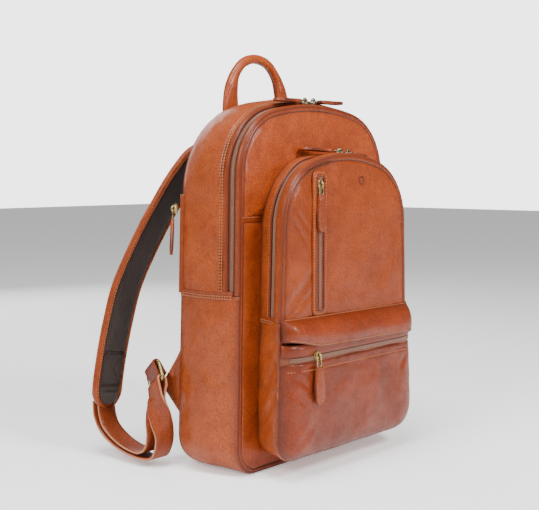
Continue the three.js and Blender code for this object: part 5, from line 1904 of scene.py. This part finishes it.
def wing_mesh():
    """A doubled triangle with soft edges: rings drawn in towards its middle."""
    loop = []
    for k in range(4):
        a, b = wing_corners[k], wing_corners[(k + 1) % 4]
        steps = max(3, int(np.linalg.norm(b - a) / 3))
        loop += [a + (b - a) * i / steps for i in range(steps)]
    loop = np.array(loop)
    middle = loop.mean(0)
    normal = np.cross(wing_corners[1] - wing_corners[0], wing_corners[3] - wing_corners[0])
    normal /= np.linalg.norm(normal)
    if normal[0] > 0:
        normal = -normal
    levels = ((0.0, 0.0), (0.0, 1.4), (0.6, 2.1), (1.8, 2.3), (2.6, 2.05), (3.4, 2.35), (5.2, 2.2),
        (6.0, 2.4), (9.0, 2.5))
    points = []
    loops = []
    for sign in (1, -1):
        for inset, height in levels:
            rays = loop - middle
            scale = np.clip(1 - inset / np.linalg.norm(rays, axis=1), 0.03, 1)[:, None]
            loops.append(len(points))
            points.extend(middle + rays * scale + normal * sign * height + WING_SHIFT)
    return np.array(points), wrapped_faces(loops, len(loop)), normal


wing_points, wing_faces, wing_normal = wing_mesh()
wing_faces = outward_faces(wing_points, wing_faces)
LOOP_HALF = 11.5
loop_out = np.cross(AWAY, BAR)
if loop_out[0] > 0:
    loop_out = -loop_out
loop_rows = []
for reach in (5.1, 2.7):
    profile = [(-15.5, -reach)] + [(-15.5 + 15.5 * t, -reach) for t in (0.35, 0.7)]
    profile += [(reach * math.cos(a), reach * math.sin(a)) for a in np.linspace(-math.pi / 2, math.pi / 2,
        16)]
    profile += [(-15.5 + 15.5 * t, reach) for t in (0.7, 0.35)] + [(-15.5, reach)]
    loop_rows.append(profile if reach > 4 else list(reversed(profile)))
loop_shape = loop_rows[0] + loop_rows[1]
widths = ((-LOOP_HALF, -0.5), (-LOOP_HALF + 0.3, 0.0), (-LOOP_HALF + 1.2, 0.15), (0, 0.2),
    (LOOP_HALF - 1.2, 0.15),
    (LOOP_HALF - 0.3, 0.0), (LOOP_HALF, -0.5))
loop_points3 = []
for w, grow in widths:
    for k, (a, o) in enumerate(loop_shape):
        length = math.hypot(max(a, 0), o)
        scale = 1 + (grow / max(length, 1)) * (1 if k < len(loop_rows[0]) else -1)
        loop_points3.append(RING_HEAD + BAR * w + AWAY * (a * scale if a > 0 else a) + loop_out * o * scale)
loop_faces = grid_faces(len(widths), len(loop_shape), closed=True)
loop_faces += end_caps(len(widths), len(loop_shape))

ring_path, _ = loop_points(RING_ACROSS / 2 + WIRE / 2, -WIRE / 2, RING_ALONG + WIRE / 2, 4.2, 8)
ring_path3 = [RING_HEAD + BAR * x + HANG * (z + WIRE / 2) for x, z in ring_path]
ring_mesh, ring_faces = tube(ring_path3, 1.95, 16, closed=True)
ring_faces = outward_faces(ring_mesh, ring_faces)


def wing_seam(corners, inset, side):
    """Stitches beside the long edge from the first corner to the second."""
    start = corners[0] + (corners[3] - corners[0]) * inset / (WING_HIGH - WING_LOW)
    end = corners[1] + (corners[2] - corners[1]) * inset / (2 * WING_HALF_TIP)
    line, outs = facing(np.linspace(start, end, 20) + wing_normal * 2.35 + WING_SHIFT, wing_normal)
    return mirror(line, side), mirror(outs, side)


for label, side in BOTH_SIDES:
    wing = make_object(f"wing_leather_{label}", mirror(wing_points, side), flip(wing_faces, side),
        side_leather, "shell",
        seam=[0.25] * len(wing_points))
    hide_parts(f"wing_{label}")
    upper = wing_corners
    lower = wing_corners[::-1]
    lines = [wing_seam(corners, inset, side) for corners, inset in ((upper, 2.8), (upper, 5.6), (lower, 3))]
    stitch_row(f"wing_stitches_{label}", lines, "shell", pitch=2.9, length=2.2)
    made = make_object(f"ring_loop_leather_{label}", mirror(loop_points3, side),
        flip(outward_faces(loop_points3, loop_faces), side),
        loop_leather, "shell", seam=[0.2] * len(loop_points3))
    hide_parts(f"ring_loop_{label}")
    made = make_object(f"brass_ring_{label}", mirror(ring_mesh, side), flip(ring_faces, side), brass,
        f"ring_{label}")
    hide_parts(f"ring_{label}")

# %% [markdown]
# ## Adjuster
#
# The adjuster is a long strip of split leather, thick and a little stiff. It leaves the strap's end, hangs in
# a bow, turns round the ring's lower bar and comes back beside itself to the buckle. Its cut edges
# are pale and fibrous. One sweep follows the whole strip.

# %% Adjuster
INNER_STOPS = [(-154.4, 147.6, 64, -1, 0, 0), (-155, 146.6, 50, -1, 0, 0), (-155.5, 141, 36, -1, 0, 0),
    (-156, 130, 27, -1, 0, 0), (-157, 112, 19, -1, 0, 0),
    (-158, 94, 15, -1, 0, 0), (-158, 76, 14, -1, 0, 0), (-157, 65, 21, -1, 0.05, 0),
    (-156, 61, 35, -0.95, 0.2, 0),
    (-155, 61, 50, -0.75, 0.55, -0.15), (-153.5, 61, 66, -0.3, 0.8, -0.45),
    (-152.5, 59, 79, 0.1, 0.78, -0.62)]
OUTER_STOPS = [(-155, 156.4, 60, -1, 0, 0), (-156, 153.4, 43, -1, 0, 0), (-157, 141, 27, -1, 0, 0),
    (-157.5, 120, 16, -1, 0, 0),
    (-158, 95, 10, -1, 0, 0), (-158, 72, 8, -1, 0, 0), (-157, 56, 11, -1, 0, 0), (-156, 49, 24, -1, 0.05, 0),
    (-156, 48, 38, -0.95, 0.15, 0), (-158, 51, 54, -0.75, 0.55, -0.15), (-160, 54, 68, -0.3, 0.8, -0.45),
    (-161, 55.5, 79, 0.1, 0.78, -0.62)]
ADJUSTER_WIDTH = 25.0
ADJUSTER_THICK = 2.6
ring_low = RING_HEAD + HANG * (RING_ALONG + WIRE)
turn_out = np.cross(BAR, HANG)
if turn_out[0] > 0:
    turn_out = -turn_out
clear = WIRE * math.sqrt(0.5) + 0.4 + 0.4 + ADJUSTER_THICK / 2
turns = []
for angle in np.radians((-90, -45, 0, 45, 90)):
    place = ring_low - HANG * clear * math.cos(angle) + turn_out * clear * math.sin(angle)
    turns.append((*place, *BAR))
stops = np.array(INNER_STOPS + turns + OUTER_STOPS[::-1], float)
adjuster_line, adjuster_length = spline(stops[:, :3], 240)
knots = np.concatenate([[0], np.cumsum(np.linalg.norm(np.diff(stops[:, :3], axis=0), axis=1))])
marks = np.linspace(0, knots[-1], 240)
adjuster_across = np.stack([np.interp(marks, knots, stops[:, k]) for k in (3, 4, 5)], 1)
adjuster_ahead = np.gradient(adjuster_line, axis=0)
adjuster_ahead /= np.linalg.norm(adjuster_ahead, axis=1)[:, None]
adjuster_across -= adjuster_ahead * np.einsum("ij,ij->i", adjuster_across, adjuster_ahead)[:, None]
adjuster_across /= np.linalg.norm(adjuster_across, axis=1)[:, None]
adjuster_out = np.cross(adjuster_ahead, adjuster_across)


def strip_section(width, thick):
    """A flat strip with slightly rounded, rough edges."""
    w, t = width / 2, thick / 2
    return [(-w, -t * 0.4), (-w + 0.5, -t), (-w * 0.5, -t), (0, -t), (w * 0.5, -t), (w - 0.5, -t),
        (w, -t * 0.4), (w, t * 0.4),
        (w - 0.5, t), (w * 0.5, t), (0, t), (-w * 0.5, t), (-w + 0.5, t), (-w, t * 0.4)]


adjuster_face = leather("adjuster_leather", "B04E1E", "983F14", "5C220A", polish=0.5, grain=0.55)
section = strip_section(ADJUSTER_WIDTH, ADJUSTER_THICK)
adjuster_points = []
for i, (place, across, out) in enumerate(zip(adjuster_line, adjuster_across, adjuster_out)):
    for a, o in section:
        rough = ripple(place + across * a, 2.4, 0.22, 4.4) if abs(a) > 11 else 0
        adjuster_points.append(place + across * (a + rough) + out * o)
adjuster_faces = grid_faces(len(adjuster_line), len(section), closed=True)
adjuster_faces += end_caps(len(adjuster_line), len(section))
a, b, c = (np.array(adjuster_points[i]) for i in (9, 10, 10 + len(section)))
if np.dot(np.cross(b - a, c - a), adjuster_out[0]) < 0:
    adjuster_faces = turned(adjuster_faces)
# Neighbouring places of the section whose face is a cut edge, or the bevel beside it.
CUT_EDGES = ({5, 6}, {6, 7}, {7, 8}, {12, 13}, {13, 0}, {0, 1})
for label, side in BOTH_SIDES:
    made = make_object(f"adjuster_leather_{label}", mirror(adjuster_points, side),
        flip(adjuster_faces, side), adjuster_face,
        None, seam=[0.35] * len(adjuster_points))
    made.data.materials.append(rough_leather)
    for face in made.data.polygons:
        places = {v % len(section) for v in face.vertices}
        if any(pair <= places for pair in CUT_EDGES):
            face.material_index = 1
    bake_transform(made)
    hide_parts(f"adjuster_{label}")
print("adjuster length", round(float(adjuster_length)), "mm")

# %% [markdown]
# ## Buckle
#
# A sliding buckle of satin brass sits on the strap's outer face just above its round end.

# %% Buckles
for label, side in BOTH_SIDES:
    joint = JOINTS[f"buckle_tilt_{label}"]
    centre = middle_of(f"buckle_{label}")
    bar_way = np.array(joint["axis"])
    pivot = np.array(joint["pos_m"]) / MM
    down_way = centre - pivot
    down_way -= bar_way * down_way.dot(bar_way)
    down_way /= np.linalg.norm(down_way)
    path, _ = loop_points(15.0, -11.4, 11.4, 3.4, 7)
    frame_path = [centre + bar_way * x + down_way * z for x, z in path]
    rim_part = tube(frame_path, 1.7, 12, closed=True)
    bar_part = tube([centre + bar_way * x for x in np.linspace(-15, 15, 5)], 1.5, 10)
    points, faces = join_parts([rim_part, bar_part])
    made = make_object(f"brass_buckle_{label}", points, outward_faces(points, faces), brass,
        f"buckle_{label}")
    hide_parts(f"buckle_{label}")

# %% [markdown]
# ## Inner pieces
#
# The lining, the padded divider and the stiffening board stay as they are in the frame, because they only
# need a cloth finish. A backing panel closes the pouch behind its zip.

# %% Carried-over pieces
for node, finish in (("main_lining", lining), ("laptop_divider", lining), ("base_board", back_mesh),
    ("pouch_backing", side_leather)):
    carried = frame["nodes"][node]
    carried.data.materials.clear()
    carried.data.materials.append(finish)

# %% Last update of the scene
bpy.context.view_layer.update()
